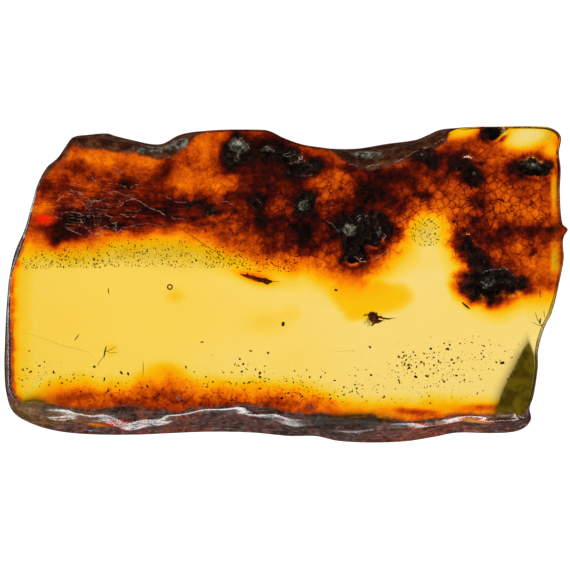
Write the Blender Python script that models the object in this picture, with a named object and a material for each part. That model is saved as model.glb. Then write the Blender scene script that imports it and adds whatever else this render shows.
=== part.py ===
"""A polished slab of natural amber, lying on its back face, with an insect and a splinter of bark in it.

+X runs along the slab, +Y across it towards the crusted edge and +Z up out of the polished front face.
The origin is at the middle of the slab's outline, on the surface that it lies on. Meshes are drawn in
millimetres and each object is scaled to metres.
"""

import math

import bmesh
import bpy
import numpy as np
from mathutils import Vector

# Driving sizes, in millimetres
MM = 0.001
LENGTH = 130.0
THICKNESS = 14.0
PARTING_HEIGHT = 8.0
PARTING_GAP = 0.3

# The slab's widest outline, anticlockwise from its lower left corner: x, y and the ledge, which is how far
# the natural edge slopes out from the rim of the polished front face.
OUTLINE = (
    (-64.6, -24.7, 2.1), (-63.1, -29.2, 3.9), (-59.3, -31.8, 5.6), (-53.1, -33.7, 6.4), (-45.0, -34.5, 6.2),
    (-34.9, -34.6, 7.0), (-26.1, -34.2, 5.1), (-18.0, -33.9, 5.9), (-7.7, -34.1, 6.6), (1.1, -34.9, 5.8),
    (7.1, -34.9, 5.3), (12.2, -36.0, 5.7), (19.8, -36.4, 6.3), (27.8, -36.1, 5.1), (34.3, -35.1, 4.5),
    (39.6, -34.1, 4.2), (47.4, -34.2, 4.5), (52.9, -33.9, 4.7), (55.6, -32.8, 3.0), (56.9, -30.9, 1.6),
    (56.5, -28.4, 0.6), (57.2, -25.4, 0.4), (58.1, -18.9, 0.3), (58.2, -14.9, 0.3), (59.6, -9.9, 0.3),
    (61.4, -6.1, 0.3), (63.2, 1.2, 0.4), (64.1, 6.2, 0.4), (63.9, 9.4, 0.4), (64.1, 11.1, 0.3),
    (65.0, 12.8, 0.3), (63.8, 14.1, 0.4), (63.2, 21.2, 0.4), (63.4, 26.5, 0.4), (63.0, 30.3, 0.4),
    (63.5, 33.8, 0.5), (62.4, 35.5, 0.6), (59.6, 36.4, 0.3), (49.5, 36.4, 0.2), (39.6, 36.2, 0.5),
    (35.7, 35.8, 2.0), (32.7, 34.5, 2.8), (30.1, 33.5, 2.4), (23.4, 32.6, 4.4), (16.5, 31.5, 3.6),
    (10.1, 31.5, 0.6), (4.1, 32.3, 0.3), (-0.3, 33.8, 0.3), (-3.3, 35.3, 0.3), (-5.4, 35.7, 0.3),
    (-16.4, 35.6, 0.3), (-21.5, 35.3, 1.6), (-24.9, 34.5, 3.4), (-28.2, 32.7, 3.2), (-30.7, 32.5, 2.4),
    (-35.1, 33.4, 2.6), (-39.2, 34.4, 3.3), (-41.3, 35.0, 3.2), (-45.5, 34.7, 2.5), (-49.1, 34.1, 1.5),
    (-50.8, 32.0, 1.3), (-52.6, 29.4, 1.2), (-55.2, 27.1, 1.2), (-57.2, 23.3, 1.0), (-58.7, 18.3, 1.0),
    (-60.2, 13.1, 1.2), (-62.6, 7.4, 1.6), (-63.8, 1.8, 0.9), (-64.5, -5.3, 1.4), (-64.9, -13.9, 1.9),
    (-65.0, -19.2, 2.1),
)
CORNERS = (1, 18, 36, 59)
SPAN_STEPS = 16
CELLS_ALONG = 60
CELLS_ACROSS = 34
NORMAL_REACH = 3.0

# The side's profile
PROFILE_STEPS = 4
LEAST_LEDGE = 0.15
PROFILE_BULGE = 1.35
WIDEST_HEIGHT = 0.5
WIDEST_DROP = 0.033
BACK_INSET = 0.3
BACK_INSET_SHARE = 0.35
LUMP_WAVES = ((0.37, 4.0, 0.0), (0.83, -2.5, 1.3))
LUMP_HEIGHT = 0.28
LUMP_LEDGE = 5.0

# The back face above this line, x and y, is natural crust: a hollow that the polishing didn't reach.
CRUST_LINE = (
    (-66.0, 10.5), (-52.0, 9.0), (-42.0, 10.5), (-31.0, 12.0), (-20.0, 10.0), (-8.0, 6.5), (1.0, 5.0),
    (10.5, 2.8), (17.7, 1.6), (23.0, 5.2), (26.5, 9.5), (28.5, 14.5), (32.0, 17.0), (37.0, 16.5),
    (39.5, 12.5), (41.5, 7.0), (43.5, 0.0), (48.0, -3.6), (54.0, -2.6), (60.0, -1.8), (66.0, -2.5),
)
CRUST_DEPTH = 1.5
CRUST_RAMP = 5.0
CRUST_WAVES = ((0.21, 0.13, 0.4), (-0.17, 0.34, 1.9), (0.43, -0.29, 3.1), (0.08, 0.61, 0.7))
CRUST_WAVE_HEIGHT = 0.26

# A broken facet at the back's lower right corner: two points of the line that it starts from, and its slope.
FACET_START = (49.0, -29.5)
FACET_TIP = (55.2, -12.0)
FACET_SLOPE = 0.34
FACET_OVERSHOOT = 1.5
FACET_FADE = 4.0

# Crust-lined pits in the polished face: middle x and y, half length, half width, turn in degrees, depth.
PIT_STEEPNESS = 1.6
FRONT_PITS = (
    (-10.2, 31.8, 3.0, 2.2, -20, 1.0),
    (-4.2, 31.0, 2.0, 1.7, 0, 0.7),
    (2.4, 28.4, 4.4, 1.9, -20, 0.8),
    (-21.3, 18.9, 1.8, 1.4, -10, 0.6),
    (-17.1, 16.6, 1.8, 1.5, 0, 0.6),
    (-6.1, 19.1, 1.6, 1.4, 0, 0.6),
    (4.6, 18.2, 2.7, 2.3, 20, 0.9),
    (18.4, 12.0, 5.4, 4.4, -15, 1.3),
    (16.2, 6.4, 2.0, 2.5, 0, 0.8),
    (31.3, 28.8, 2.9, 2.3, -25, 0.8),
    (41.6, 27.4, 2.8, 2.4, 10, 0.8),
    (56.9, 26.9, 4.6, 2.3, -5, 1.0),
    (48.4, 35.6, 2.6, 2.2, 0, 0.9),
    (47.7, 0.4, 6.9, 4.1, -8, 1.4),
    (42.6, 9.2, 3.4, 3.1, 30, 0.9),
    (-36.2, 23.7, 1.9, 2.3, 0, 0.6),
)

# The insect lies on its side with its head towards +X and its back towards +Y. The places of its parts
# are counted from the middle of its thorax, and the bulged ones are given by their half sizes.
INSECT_MIDDLE = (20.5, -7.6, PARTING_HEIGHT)
INSECT_POCKET_MIDDLE = (21.4, -7.9, PARTING_HEIGHT)
INSECT_POCKET = (5.0, 3.2, 2.1)
BODY_SIDES = 16
BODY_RINGS = 10
BODY_SQUARENESS = 2.1
THORAX = (0.98, 0.98, 0.78)
COXAE = (0.62, 0.60, 0.46)
COXAE_MIDDLE = (0.30, -0.62, 0.0)
HEAD = (0.36, 0.42, 0.40)
HEAD_MIDDLE = (1.62, 0.0, 0.0)
EYE = (0.19, 0.25, 0.14)
EYE_MIDDLE = (1.70, 0.07, 0.33)
EYE_SIDES = 10
EYE_RINGS = 8
NECK = ((0.7, 0.1, 0.0), (1.1, 0.06, 0.0), (1.5, 0.0, 0.0))
NECK_RADII = (0.34, 0.24, 0.24)
NECK_SIDES = 10
ABDOMEN_STEPS = 21
ABDOMEN_SIDES = 14
ABDOMEN_START = (-0.35, 0.12)
ABDOMEN_REACH = (-1.55, -0.75)
ABDOMEN_BEND = 1.6
ABDOMEN_RADIUS = 0.88
ABDOMEN_TIP_RADIUS = 0.12
ABDOMEN_SEGMENTS = 5
SEGMENT_SWELL = 0.05
WING_STEPS = 12
WING_START = (0.35, 0.62, 0.50)
WING_REACH = (-2.75, -0.42)
WING_HALF_WIDTH = 0.62
WING_HALF_THICKNESS = 0.045
WING_BULGE = 0.30
WING_TUCK = 0.12
LIMB_SIDES = 5
LEG_RADII = (0.15, 0.12, 0.09, 0.06, 0.05)
LEGS = (
    ((0.55, -0.70, 0.30), (1.35, -1.05, 0.75), (1.75, -0.62, 0.95), (2.35, -0.42, 0.90), (2.75, -0.3, 0.8)),
    ((0.10, -0.80, 0.32), (0.05, -1.45, 0.85), (-0.35, -1.80, 1.0), (-0.62, -2.15, 0.9), (-0.9, -2.35, 0.8)),
    ((-0.3, -0.60, 0.34), (-1.25, -1.05, 0.9), (-1.75, -0.30, 1.05), (-2.3, 0.10, 0.95), (-2.75, 0.3, 0.85)),
)
ANTENNA_RADII = (0.11, 0.08, 0.075, 0.07, 0.04)
ANTENNAE = (
    ((1.8, 0.02, 0.12), (2.30, -0.06, 0.30), (2.9, -0.26, 0.42), (3.60, -0.34, 0.46), (4.35, -0.20, 0.42)),
    ((1.8, 0.02, -0.12), (2.25, 0.10, -0.32), (2.8, 0.06, -0.5), (3.35, -0.10, -0.6), (3.85, -0.30, -0.62)),
)

# The splinter of bark
SPLINTER_MIDDLE = (-6.4, 2.0, PARTING_HEIGHT)
SPLINTER_LENGTH = 6.4
SPLINTER_WIDTH = 1.15
SPLINTER_THICKNESS = 0.9
SPLINTER_TURN = -14.0
SPLINTER_STEPS = 15
SPLINTER_SIDES = 6
SPLINTER_POINT = 0.10
SPLINTER_WIDENING = 1.25
SPLINTER_END_START = 0.86
SPLINTER_END_DROP = 0.55
SPLINTER_RIPPLES = ((17.0, 0.0, 0.13), (41.0, 1.0, 0.07))
SPLINTER_SLANT = 0.12
SPLINTER_POCKET = (4.1, 1.5, 1.1)
POCKET_SQUARENESS = 2.6
POCKET_SIDES = 18


def empty_the_scene():
    for thing in list(bpy.data.objects):
        bpy.data.objects.remove(thing)


def finish(name, color, roughness, metallic=0.0):
    """A material with the colour, roughness and metallic value of one of the pieces."""
    material = bpy.data.materials.new(name)
    material.use_nodes = True
    shader = material.node_tree.nodes["Principled BSDF"]
    shader.inputs["Base Color"].default_value = (*color, 1.0)
    shader.inputs["Roughness"].default_value = roughness
    shader.inputs["Metallic"].default_value = metallic
    return material


def placed(name, mesh, material, middle=(0.0, 0.0, 0.0), turn_deg=0.0):
    """An object of a mesh drawn in millimetres, scaled to metres, at a place given in millimetres."""
    thing = bpy.data.objects.new(name, mesh)
    thing.scale = (MM, MM, MM)
    thing.location = Vector(middle) * MM
    thing.rotation_euler = (0.0, 0.0, math.radians(turn_deg))
    if material is not None:
        mesh.materials.append(material)
    bpy.context.scene.collection.objects.link(thing)
    return thing


def mesh_of(name, points, faces):
    mesh = bpy.data.meshes.new(name)
    mesh.from_pydata([tuple(p) for p in points], [], [tuple(f) for f in faces])
    mesh.validate()
    return mesh


def smooth_closed(knots, steps):
    """A closed curve through the knots: a cubic on each span whose slopes are the chords across its ends."""
    p = np.array(knots, float)
    ahead = np.roll(p, -1, axis=0)
    span = np.linalg.norm((ahead - p)[:, :2], axis=1)
    before = np.roll(span, 1)
    slope = (ahead - np.roll(p, 1, axis=0)) / (span + before)[:, None]
    t = (np.arange(steps) / steps)[None, :, None]
    start, end = p[:, None], ahead[:, None]
    leave = (slope * span[:, None])[:, None]
    arrive = (np.roll(slope, -1, axis=0) * span[:, None])[:, None]
    curve = (
        (2 * t**3 - 3 * t**2 + 1) * start
        + (t**3 - 2 * t**2 + t) * leave
        + (3 * t**2 - 2 * t**3) * end
        + (t**3 - t**2) * arrive
    )
    return curve.reshape(-1, p.shape[1])


def outline_samples():
    """The outline as x, y, ledge and outward normal, with even steps between its four corners."""
    dense = smooth_closed(OUTLINE, SPAN_STEPS)
    count = len(dense)
    steps = (CELLS_ALONG, CELLS_ACROSS, CELLS_ALONG, CELLS_ACROSS)
    rows = []
    for i, cells in enumerate(steps):
        first = CORNERS[i] * SPAN_STEPS
        last = CORNERS[(i + 1) % 4] * SPAN_STEPS
        run = dense[np.arange(first, last + 1 if last > first else last + count + 1) % count]
        along = np.concatenate([[0.0], np.cumsum(np.linalg.norm(np.diff(run[:, :2], axis=0), axis=1))])
        wanted = np.linspace(0.0, along[-1], cells + 1)[:-1]
        rows.append(np.stack([np.interp(wanted, along, run[:, k]) for k in range(3)], axis=1))
    samples = np.concatenate(rows)
    low, high = samples[:, :2].min(axis=0), samples[:, :2].max(axis=0)
    samples[:, :2] = (samples[:, :2] - (low + high) / 2) * LENGTH / (high - low)[0]
    samples[:, 2] = np.maximum(samples[:, 2], LEAST_LEDGE)
    return samples, outward_normals(samples[:, :2])


def outward_normals(points):
    """Outward normals of an anticlockwise outline, each the normal of the mean of the chords across it out
    to NORMAL_REACH, so that the rim doesn't fold in narrow bends."""
    step = np.linalg.norm(np.roll(points, -1, axis=0) - points, axis=1).mean()
    reach = max(1, round(NORMAL_REACH / step))
    chord = sum(np.roll(points, -k, axis=0) - np.roll(points, k, axis=0) for k in range(1, reach + 1))
    chord /= np.linalg.norm(chord, axis=1)[:, None]
    return np.stack([chord[:, 1], -chord[:, 0]], axis=1)


def ring_sides(ring):
    """The four sides of a closed ring of samples, each with both of its ends, from the lower left corner."""
    starts = np.cumsum([0, CELLS_ALONG, CELLS_ACROSS, CELLS_ALONG, CELLS_ACROSS])
    closed = np.concatenate([ring, ring[:1]])
    return [closed[starts[i]:starts[i + 1] + 1] for i in range(4)]


def blended_face(ring):
    """A grid over the inside of a four-sided ring: each point is the sum of the two straight blends between
    facing sides, less the blend of the four corners (a Coons patch)."""
    bottom, right, top, left = ring_sides(ring)
    top, left = top[::-1], left[::-1]
    u = np.linspace(0, 1, CELLS_ALONG + 1)[None, :, None]
    v = np.linspace(0, 1, CELLS_ACROSS + 1)[:, None, None]
    ruled = (1 - v) * bottom[None] + v * top[None] + (1 - u) * left[:, None] + u * right[:, None]
    corners = (
        (1 - u) * (1 - v) * bottom[0] + u * (1 - v) * bottom[-1] + (1 - u) * v * top[0] + u * v * top[-1]
    )
    return ruled - corners


def smooth_step(value):
    value = np.clip(value, 0.0, 1.0)
    return value * value * (3 - 2 * value)


def pit_depth(x, y):
    """How deep the pits are at a point of the front face: flat-bottomed bowls, of which the deepest wins."""
    depth = np.zeros_like(x)
    for px, py, half_length, half_width, turn, deepest in FRONT_PITS:
        c, s = math.cos(math.radians(turn)), math.sin(math.radians(turn))
        along = ((x - px) * c + (y - py) * s) / half_length
        across = ((y - py) * c - (x - px) * s) / half_width
        depth = np.maximum(depth, deepest * smooth_step(PIT_STEEPNESS * (1 - np.hypot(along, across))))
    return depth


def crust_height(x, y):
    """How far the crust lies above the flat of the back face: a ramp up from CRUST_LINE with waves."""
    line = np.interp(x, *np.array(CRUST_LINE).T)
    ramp = smooth_step((y - line) / CRUST_RAMP)
    waves = sum(np.sin(a * x + b * y + phase) for a, b, phase in CRUST_WAVES)
    return ramp * (CRUST_DEPTH + CRUST_WAVE_HEIGHT * waves)


def facet_height(x, y):
    """The rise of the broken facet at the lower right: its slope times the distance past its first line."""
    line = np.subtract(FACET_TIP, FACET_START)
    line = line / np.linalg.norm(line)
    past = (x - FACET_START[0]) * line[1] - (y - FACET_START[1]) * line[0]
    tapered = past * smooth_step((FACET_TIP[1] + FACET_OVERSHOOT - y) / FACET_FADE)
    return FACET_SLOPE * np.maximum(tapered, 0.0)


def back_height(x, y):
    return np.maximum(crust_height(x, y), facet_height(x, y))


def side_rings(samples, normals, front, back):
    """The rings of the side between the front rim and the back rim: a bulging slope out to the widest
    outline, then a rounding under to the back, with low lumps where the ledge is wide."""
    ledge = samples[:, 2]
    widest = THICKNESS * WIDEST_HEIGHT - THICKNESS * WIDEST_DROP * ledge
    inset = BACK_INSET + BACK_INSET_SHARE * ledge
    rings = []
    for q in np.arange(1, PROFILE_STEPS) / PROFILE_STEPS:
        out = (1 - (1 - q) ** PROFILE_BULGE) ** (1 / PROFILE_BULGE)
        lumps = sum(np.sin(a * samples[:, 0] + b * q + phase) for a, b, phase in LUMP_WAVES)
        lumps = lumps * math.sin(math.pi * q)
        offset = -ledge * (1 - out) + LUMP_HEIGHT * lumps * smooth_step(ledge / LUMP_LEDGE)
        height = front[:, 2] + (widest - front[:, 2]) * q
        rings.append(np.column_stack([samples[:, :2] + normals * offset[:, None], height]))
    rings.append(np.column_stack([samples[:, :2], widest]))
    for q in np.arange(1, PROFILE_STEPS) / PROFILE_STEPS:
        under = 1 - (1 - q**PROFILE_BULGE) ** (1 / PROFILE_BULGE)
        height = widest + (back[:, 2] - widest) * q
        rings.append(np.column_stack([samples[:, :2] - normals * (inset * under)[:, None], height]))
    return rings


def grid_faces(index, flip):
    """Quads over a grid of point numbers."""
    a, b, c, d = index[:-1, :-1], index[:-1, 1:], index[1:, 1:], index[1:, :-1]
    quads = np.stack([a, d, c, b] if flip else [a, b, c, d], axis=-1)
    return quads.reshape(-1, 4)


def rim_numbers(index):
    """The numbers round the edge of a grid, anticlockwise from its first corner."""
    return np.concatenate([index[0, :-1], index[:-1, -1], index[-1, :0:-1], index[:0:-1, 0]])


def whole_slab():
    """The slab in one closed skin: the front grid, the back grid and the side's rings between their rims."""
    samples, normals = outline_samples()
    ledge = samples[:, 2:3]
    front = blended_face(samples[:, :2] - normals * ledge)
    back = blended_face(samples[:, :2] - normals * (BACK_INSET + BACK_INSET_SHARE * ledge))
    front = np.dstack([front, THICKNESS - pit_depth(front[..., 0], front[..., 1])])
    back = np.dstack([back, back_height(back[..., 0], back[..., 1])])
    count = front.shape[0] * front.shape[1]
    front_index = np.arange(count).reshape(front.shape[:2])
    back_index = front_index + count
    front_rim = rim_numbers(front_index)
    back_rim = rim_numbers(back_index)
    points = np.concatenate([front.reshape(-1, 3), back.reshape(-1, 3)])
    rings = side_rings(samples, normals, points[front_rim], points[back_rim])
    middle_index = np.arange(len(rings) * len(samples)).reshape(len(rings), -1) + 2 * count
    side_index = np.vstack([front_rim, middle_index, back_rim])
    side_index = np.column_stack([side_index, side_index[:, 0]])
    faces = np.vstack(
        [grid_faces(front_index, False), grid_faces(back_index, True), grid_faces(side_index, True)]
    )
    return mesh_of("amber_slab", np.vstack([points, *rings]), faces)


def half_slab(name, whole, material, upper):
    """The part of the slab above or below the parting plane, with its cut closed by one flat face."""
    shape = bmesh.new()
    shape.from_mesh(whole)
    height = PARTING_HEIGHT + PARTING_GAP / 2 * (1 if upper else -1)
    bmesh.ops.bisect_plane(
        shape,
        geom=[*shape.verts, *shape.edges, *shape.faces],
        dist=1e-5,
        plane_co=(0.0, 0.0, height),
        plane_no=(0.0, 0.0, 1.0),
        clear_inner=upper,
        clear_outer=not upper,
    )
    open_edges = [edge for edge in shape.edges if edge.is_boundary]
    bmesh.ops.holes_fill(shape, edges=open_edges, sides=0)
    bmesh.ops.recalc_face_normals(shape, faces=shape.faces)
    mesh = bpy.data.meshes.new(name)
    shape.to_mesh(mesh)
    shape.free()
    return placed(name, mesh, material)


def bulged_box(name, half_sizes, squareness=BODY_SQUARENESS, sides=BODY_SIDES, rings=BODY_RINGS):
    """A closed form between an ellipsoid (squareness 2) and a box: the sine and cosine of the two angles,
    raised to 2 over the squareness, times the half sizes."""
    around = np.arange(sides) / sides * 2 * math.pi
    up = (np.arange(1, rings) / rings - 0.5) * math.pi

    def powered(value):
        return np.sign(value) * np.abs(value) ** (2 / squareness)

    level = powered(np.cos(up))[:, None]
    x = level * powered(np.cos(around))
    y = level * powered(np.sin(around))
    z = np.repeat(powered(np.sin(up))[:, None], sides, axis=1)
    points = np.stack([x, y, z], axis=-1).reshape(-1, 3) * half_sizes
    poles = np.array([(0, 0, -half_sizes[2]), (0, 0, half_sizes[2])])
    index = np.arange(len(points)).reshape(rings - 1, sides)
    index = np.column_stack([index, index[:, 0]])
    faces = [tuple(f) for f in grid_faces(index, False)]
    low, high = len(points), len(points) + 1
    faces += [(low, index[0, k + 1], index[0, k]) for k in range(sides)]
    faces += [(high, index[-1, k], index[-1, k + 1]) for k in range(sides)]
    return mesh_of(name, np.vstack([points, poles]), faces)


def cut_pocket(halves, name, middle, half_sizes, turn_deg):
    """Takes a rounded pocket for a sealed piece out of both halves of the slab."""
    shape = bulged_box(name, half_sizes, POCKET_SQUARENESS, POCKET_SIDES)
    cutter = placed(name, shape, None, middle, turn_deg)
    cutter.hide_render = True
    cutter.display_type = "WIRE"
    for half in halves:
        cut = half.modifiers.new(name, "BOOLEAN")
        cut.operation = "DIFFERENCE"
        cut.solver = "EXACT"
        cut.object = cutter


def facing_out(mesh):
    shape = bmesh.new()
    shape.from_mesh(mesh)
    bmesh.ops.recalc_face_normals(shape, faces=shape.faces)
    shape.to_mesh(mesh)
    shape.free()
    return mesh


def capped_tube(name, rings):
    """A closed skin over rings of points, each ring joined to the next, with a flat cap at both ends."""
    steps, sides = rings.shape[:2]
    index = np.arange(steps * sides).reshape(steps, sides)
    quads = grid_faces(np.column_stack([index, index[:, 0]]), False)
    caps = [tuple(index[0]), tuple(index[-1, ::-1])]
    return facing_out(mesh_of(name, rings.reshape(-1, 3), [*quads, *caps]))


def limb(name, path, radii, sides=LIMB_SIDES):
    """A closed tapered tube: a ring of the given radius at each point of the path, square to the path."""
    path = np.array(path, float)
    tangent = np.gradient(path, axis=0)
    tangent /= np.linalg.norm(tangent, axis=1)[:, None]
    across = np.cross(tangent, (0.13, 0.21, 0.97))
    across /= np.linalg.norm(across, axis=1)[:, None]
    other = np.cross(tangent, across)
    angle = np.arange(sides) / sides * 2 * math.pi
    spread = across[:, None] * np.cos(angle)[None, :, None] + other[:, None] * np.sin(angle)[None, :, None]
    return capped_tube(name, path[:, None] + spread * np.array(radii)[:, None, None])


def ringed_abdomen():
    """The abdomen: a tapered sausage bent down behind the thorax, a little wider at each segment's end."""
    t = np.linspace(0, 1, ABDOMEN_STEPS)
    path = np.column_stack([
        ABDOMEN_START[0] + ABDOMEN_REACH[0] * t,
        ABDOMEN_START[1] + ABDOMEN_REACH[1] * t**ABDOMEN_BEND,
        np.zeros(ABDOMEN_STEPS),
    ])
    outline = np.sin(math.pi * (0.12 + 0.82 * t)) ** 0.6
    radii = ABDOMEN_RADIUS * outline * (1 + SEGMENT_SWELL * np.cos(2 * math.pi * ABDOMEN_SEGMENTS * t))
    return limb("abdomen", path, np.maximum(radii, ABDOMEN_TIP_RADIUS), ABDOMEN_SIDES)


def wing(name, side):
    """One folded wing: a thin leaf from the thorax back along the abdomen, crowned outwards along its
    length. Its cross-section is a flat box of four corners."""
    t = np.linspace(0, 1, WING_STEPS)
    half_width = WING_HALF_WIDTH * np.sin(math.pi * (0.08 + 0.88 * t)) ** 0.7
    crown = WING_BULGE * np.sin(2.4 * t) - WING_TUCK
    middle = np.column_stack([
        WING_START[0] + WING_REACH[0] * t,
        WING_START[1] + WING_REACH[1] * t,
        side * (WING_START[2] + crown),
    ])
    corners = []
    for up, out in ((1, 1), (1, -1), (-1, -1), (-1, 1)):
        corner = middle.copy()
        corner[:, 1] += up * half_width
        corner[:, 2] += out * WING_HALF_THICKNESS
        corners.append(corner)
    return capped_tube(name, np.stack(corners, axis=1))


def insect_pieces():
    """The meshes that are joined to the thorax, each with the place of its middle."""
    here = (0.0, 0.0, 0.0)
    pieces = [
        (ringed_abdomen(), here),
        (bulged_box("coxae", COXAE), COXAE_MIDDLE),
        (limb("neck", NECK, NECK_RADII, NECK_SIDES), here),
        (bulged_box("head", HEAD), HEAD_MIDDLE),
        (wing("left_wing", 1), here),
        (wing("right_wing", -1), here),
    ]
    for side in (1, -1):
        eye_middle = (EYE_MIDDLE[0], EYE_MIDDLE[1], side * EYE_MIDDLE[2])
        pieces.append((bulged_box("eye", EYE, sides=EYE_SIDES, rings=EYE_RINGS), eye_middle))
        for joints in LEGS:
            pieces.append((limb("leg", [(x, y, side * z) for x, y, z in joints], LEG_RADII), here))
    for joints in ANTENNAE:
        pieces.append((limb("antenna", joints, ANTENNA_RADII), here))
    return pieces


def insect(material):
    """The insect in one solid: the thorax joined with its abdomen, head, eyes, wings, legs and antennae."""
    body = placed("insect", bulged_box("thorax", THORAX), material, INSECT_MIDDLE)
    for mesh, offset in insect_pieces():
        joined = placed("insect_" + mesh.name, mesh, None, np.add(INSECT_MIDDLE, offset))
        joined.hide_render = True
        joined.display_type = "WIRE"
        join = body.modifiers.new(joined.name, "BOOLEAN")
        join.operation = "UNION"
        join.solver = "EXACT"
        join.object = joined


def splinter(material):
    """The splinter of bark: a rough six-sided sliver, blunt at its right end, that thins to a point at its
    left. Its width is a ramp up from the point with two ripples, and a slope down at the blunt end."""
    t = np.linspace(0, 1, SPLINTER_STEPS)
    end = smooth_step((t - SPLINTER_END_START) / (1 - SPLINTER_END_START))
    share = np.minimum(SPLINTER_POINT + SPLINTER_WIDENING * t, 1.0) * (1 - SPLINTER_END_DROP * end)
    share = share * (1 + sum(height * np.sin(a * t + phase) for a, phase, height in SPLINTER_RIPPLES))
    angle = (np.arange(SPLINTER_SIDES) + 0.3) / SPLINTER_SIDES * 2 * math.pi
    x = (t - 0.5)[:, None] * SPLINTER_LENGTH + SPLINTER_SLANT * np.sin(3 * angle)
    y = share[:, None] * np.cos(angle) * SPLINTER_WIDTH / 2
    z = share[:, None] * np.sin(angle) * SPLINTER_THICKNESS / 2
    shape = capped_tube("bark_splinter", np.stack([x, y, z], axis=-1))
    placed("bark_splinter", shape, material, SPLINTER_MIDDLE, SPLINTER_TURN)


def main():
    empty_the_scene()
    amber = finish("amber", (0.90, 0.55, 0.10), 0.05)
    chitin = finish("chitin", (0.045, 0.022, 0.012), 0.45)
    bark = finish("bark", (0.10, 0.035, 0.015), 0.80)
    whole = whole_slab()
    halves = [
        half_slab("amber_upper_half", whole, amber, True),
        half_slab("amber_lower_half", whole, amber, False),
    ]
    cut_pocket(halves, "insect_pocket", INSECT_POCKET_MIDDLE, INSECT_POCKET, 0.0)
    cut_pocket(halves, "splinter_pocket", SPLINTER_MIDDLE, SPLINTER_POCKET, SPLINTER_TURN)
    insect(chitin)
    splinter(bark)


main()
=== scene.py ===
import math

import bpy
import numpy as np
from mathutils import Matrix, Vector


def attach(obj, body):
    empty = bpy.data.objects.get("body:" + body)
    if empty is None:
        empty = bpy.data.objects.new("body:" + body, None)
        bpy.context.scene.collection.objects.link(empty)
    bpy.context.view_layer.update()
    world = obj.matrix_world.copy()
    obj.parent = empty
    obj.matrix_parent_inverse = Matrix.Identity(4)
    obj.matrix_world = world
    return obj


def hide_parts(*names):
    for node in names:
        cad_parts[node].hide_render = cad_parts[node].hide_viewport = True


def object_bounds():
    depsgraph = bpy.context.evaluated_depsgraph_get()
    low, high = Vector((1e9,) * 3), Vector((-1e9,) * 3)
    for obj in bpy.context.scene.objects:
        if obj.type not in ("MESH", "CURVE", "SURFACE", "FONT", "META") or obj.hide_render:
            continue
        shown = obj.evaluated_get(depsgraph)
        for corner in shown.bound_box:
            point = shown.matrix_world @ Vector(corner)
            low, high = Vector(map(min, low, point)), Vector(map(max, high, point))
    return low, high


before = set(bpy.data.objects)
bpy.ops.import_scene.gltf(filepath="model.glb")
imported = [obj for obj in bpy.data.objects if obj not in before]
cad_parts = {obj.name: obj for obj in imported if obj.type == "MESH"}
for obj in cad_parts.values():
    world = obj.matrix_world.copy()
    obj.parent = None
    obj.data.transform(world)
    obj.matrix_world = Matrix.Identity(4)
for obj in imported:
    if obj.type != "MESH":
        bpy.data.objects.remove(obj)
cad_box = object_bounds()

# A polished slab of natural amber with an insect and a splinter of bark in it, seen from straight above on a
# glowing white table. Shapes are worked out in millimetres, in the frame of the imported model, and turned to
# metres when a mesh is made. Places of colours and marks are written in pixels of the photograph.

MM = 0.001
PIXEL = 0.23046
PHOTO_MIDDLE = (285.25, 284.85)

# The slab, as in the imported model: its widest outline anticlockwise from its lower left corner, as x, y and
# the ledge, which is how far the natural edge slopes out from the rim of the polished front face
THICKNESS = 14.0
OUTLINE = (
    (-64.6, -24.7, 2.1), (-63.1, -29.2, 3.9), (-59.3, -31.8, 5.6), (-53.1, -33.7, 6.4), (-45.0, -34.5, 6.2),
    (-34.9, -34.6, 7.0), (-26.1, -34.2, 5.1), (-18.0, -33.9, 5.9), (-7.7, -34.1, 6.6), (1.1, -34.9, 5.8),
    (7.1, -34.9, 5.3), (12.2, -36.0, 5.7), (19.8, -36.4, 6.3), (27.8, -36.1, 5.1), (34.3, -35.1, 4.5),
    (39.6, -34.1, 4.2), (47.4, -34.2, 4.5), (52.9, -33.9, 5.0), (55.6, -32.8, 4.4), (56.9, -30.9, 3.0),
    (56.5, -28.4, 1.2), (57.2, -25.4, 0.5), (58.1, -18.9, 0.3), (58.2, -14.9, 0.3), (59.6, -9.9, 0.3),
    (61.4, -6.1, 0.3), (63.2, 1.2, 0.4), (64.1, 6.2, 0.4), (63.9, 9.4, 0.4), (64.1, 11.1, 0.3),
    (65.0, 12.8, 0.3), (63.8, 14.1, 0.4), (63.2, 21.2, 0.4), (63.4, 26.5, 0.4), (63.0, 30.3, 0.4),
    (63.5, 33.8, 0.5), (62.4, 35.5, 0.6), (59.6, 36.4, 0.3), (49.5, 36.4, 0.2), (39.6, 36.2, 0.5),
    (35.7, 35.8, 2.0), (32.7, 34.5, 2.8), (30.1, 33.5, 2.4), (23.4, 32.6, 4.4), (16.5, 31.5, 3.6),
    (10.1, 31.5, 0.6), (4.1, 32.3, 0.3), (-0.3, 33.8, 0.3), (-3.3, 35.3, 0.3), (-5.4, 35.7, 0.3),
    (-16.4, 35.6, 0.3), (-21.5, 35.3, 1.6), (-24.9, 34.5, 3.4), (-28.2, 32.7, 3.2), (-30.7, 32.5, 2.4),
    (-35.1, 33.4, 2.6), (-39.2, 34.4, 3.3), (-41.3, 35.0, 3.2), (-45.5, 34.7, 2.5), (-49.1, 34.1, 1.5),
    (-50.8, 32.0, 1.3), (-52.6, 29.4, 1.2), (-55.2, 27.1, 1.2), (-57.2, 23.3, 1.0), (-58.7, 18.3, 1.0),
    (-60.2, 13.1, 1.2), (-62.6, 7.4, 1.6), (-63.8, 1.8, 0.9), (-64.5, -5.3, 1.4), (-64.9, -13.9, 1.9),
    (-65.0, -19.2, 2.1),
)

# The grids: the outline's knots at their four corners, the steps of its spans, and the cells of a face
CORNERS = (1, 20, 36, 59)
SPAN_STEPS = 16
CELLS_ALONG = 250
CELLS_ACROSS = 140
NORMAL_REACH = 3.0
LEAST_LEDGE = 0.15
FRONT_STEPS = 22
UNDER_STEPS = 9

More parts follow.
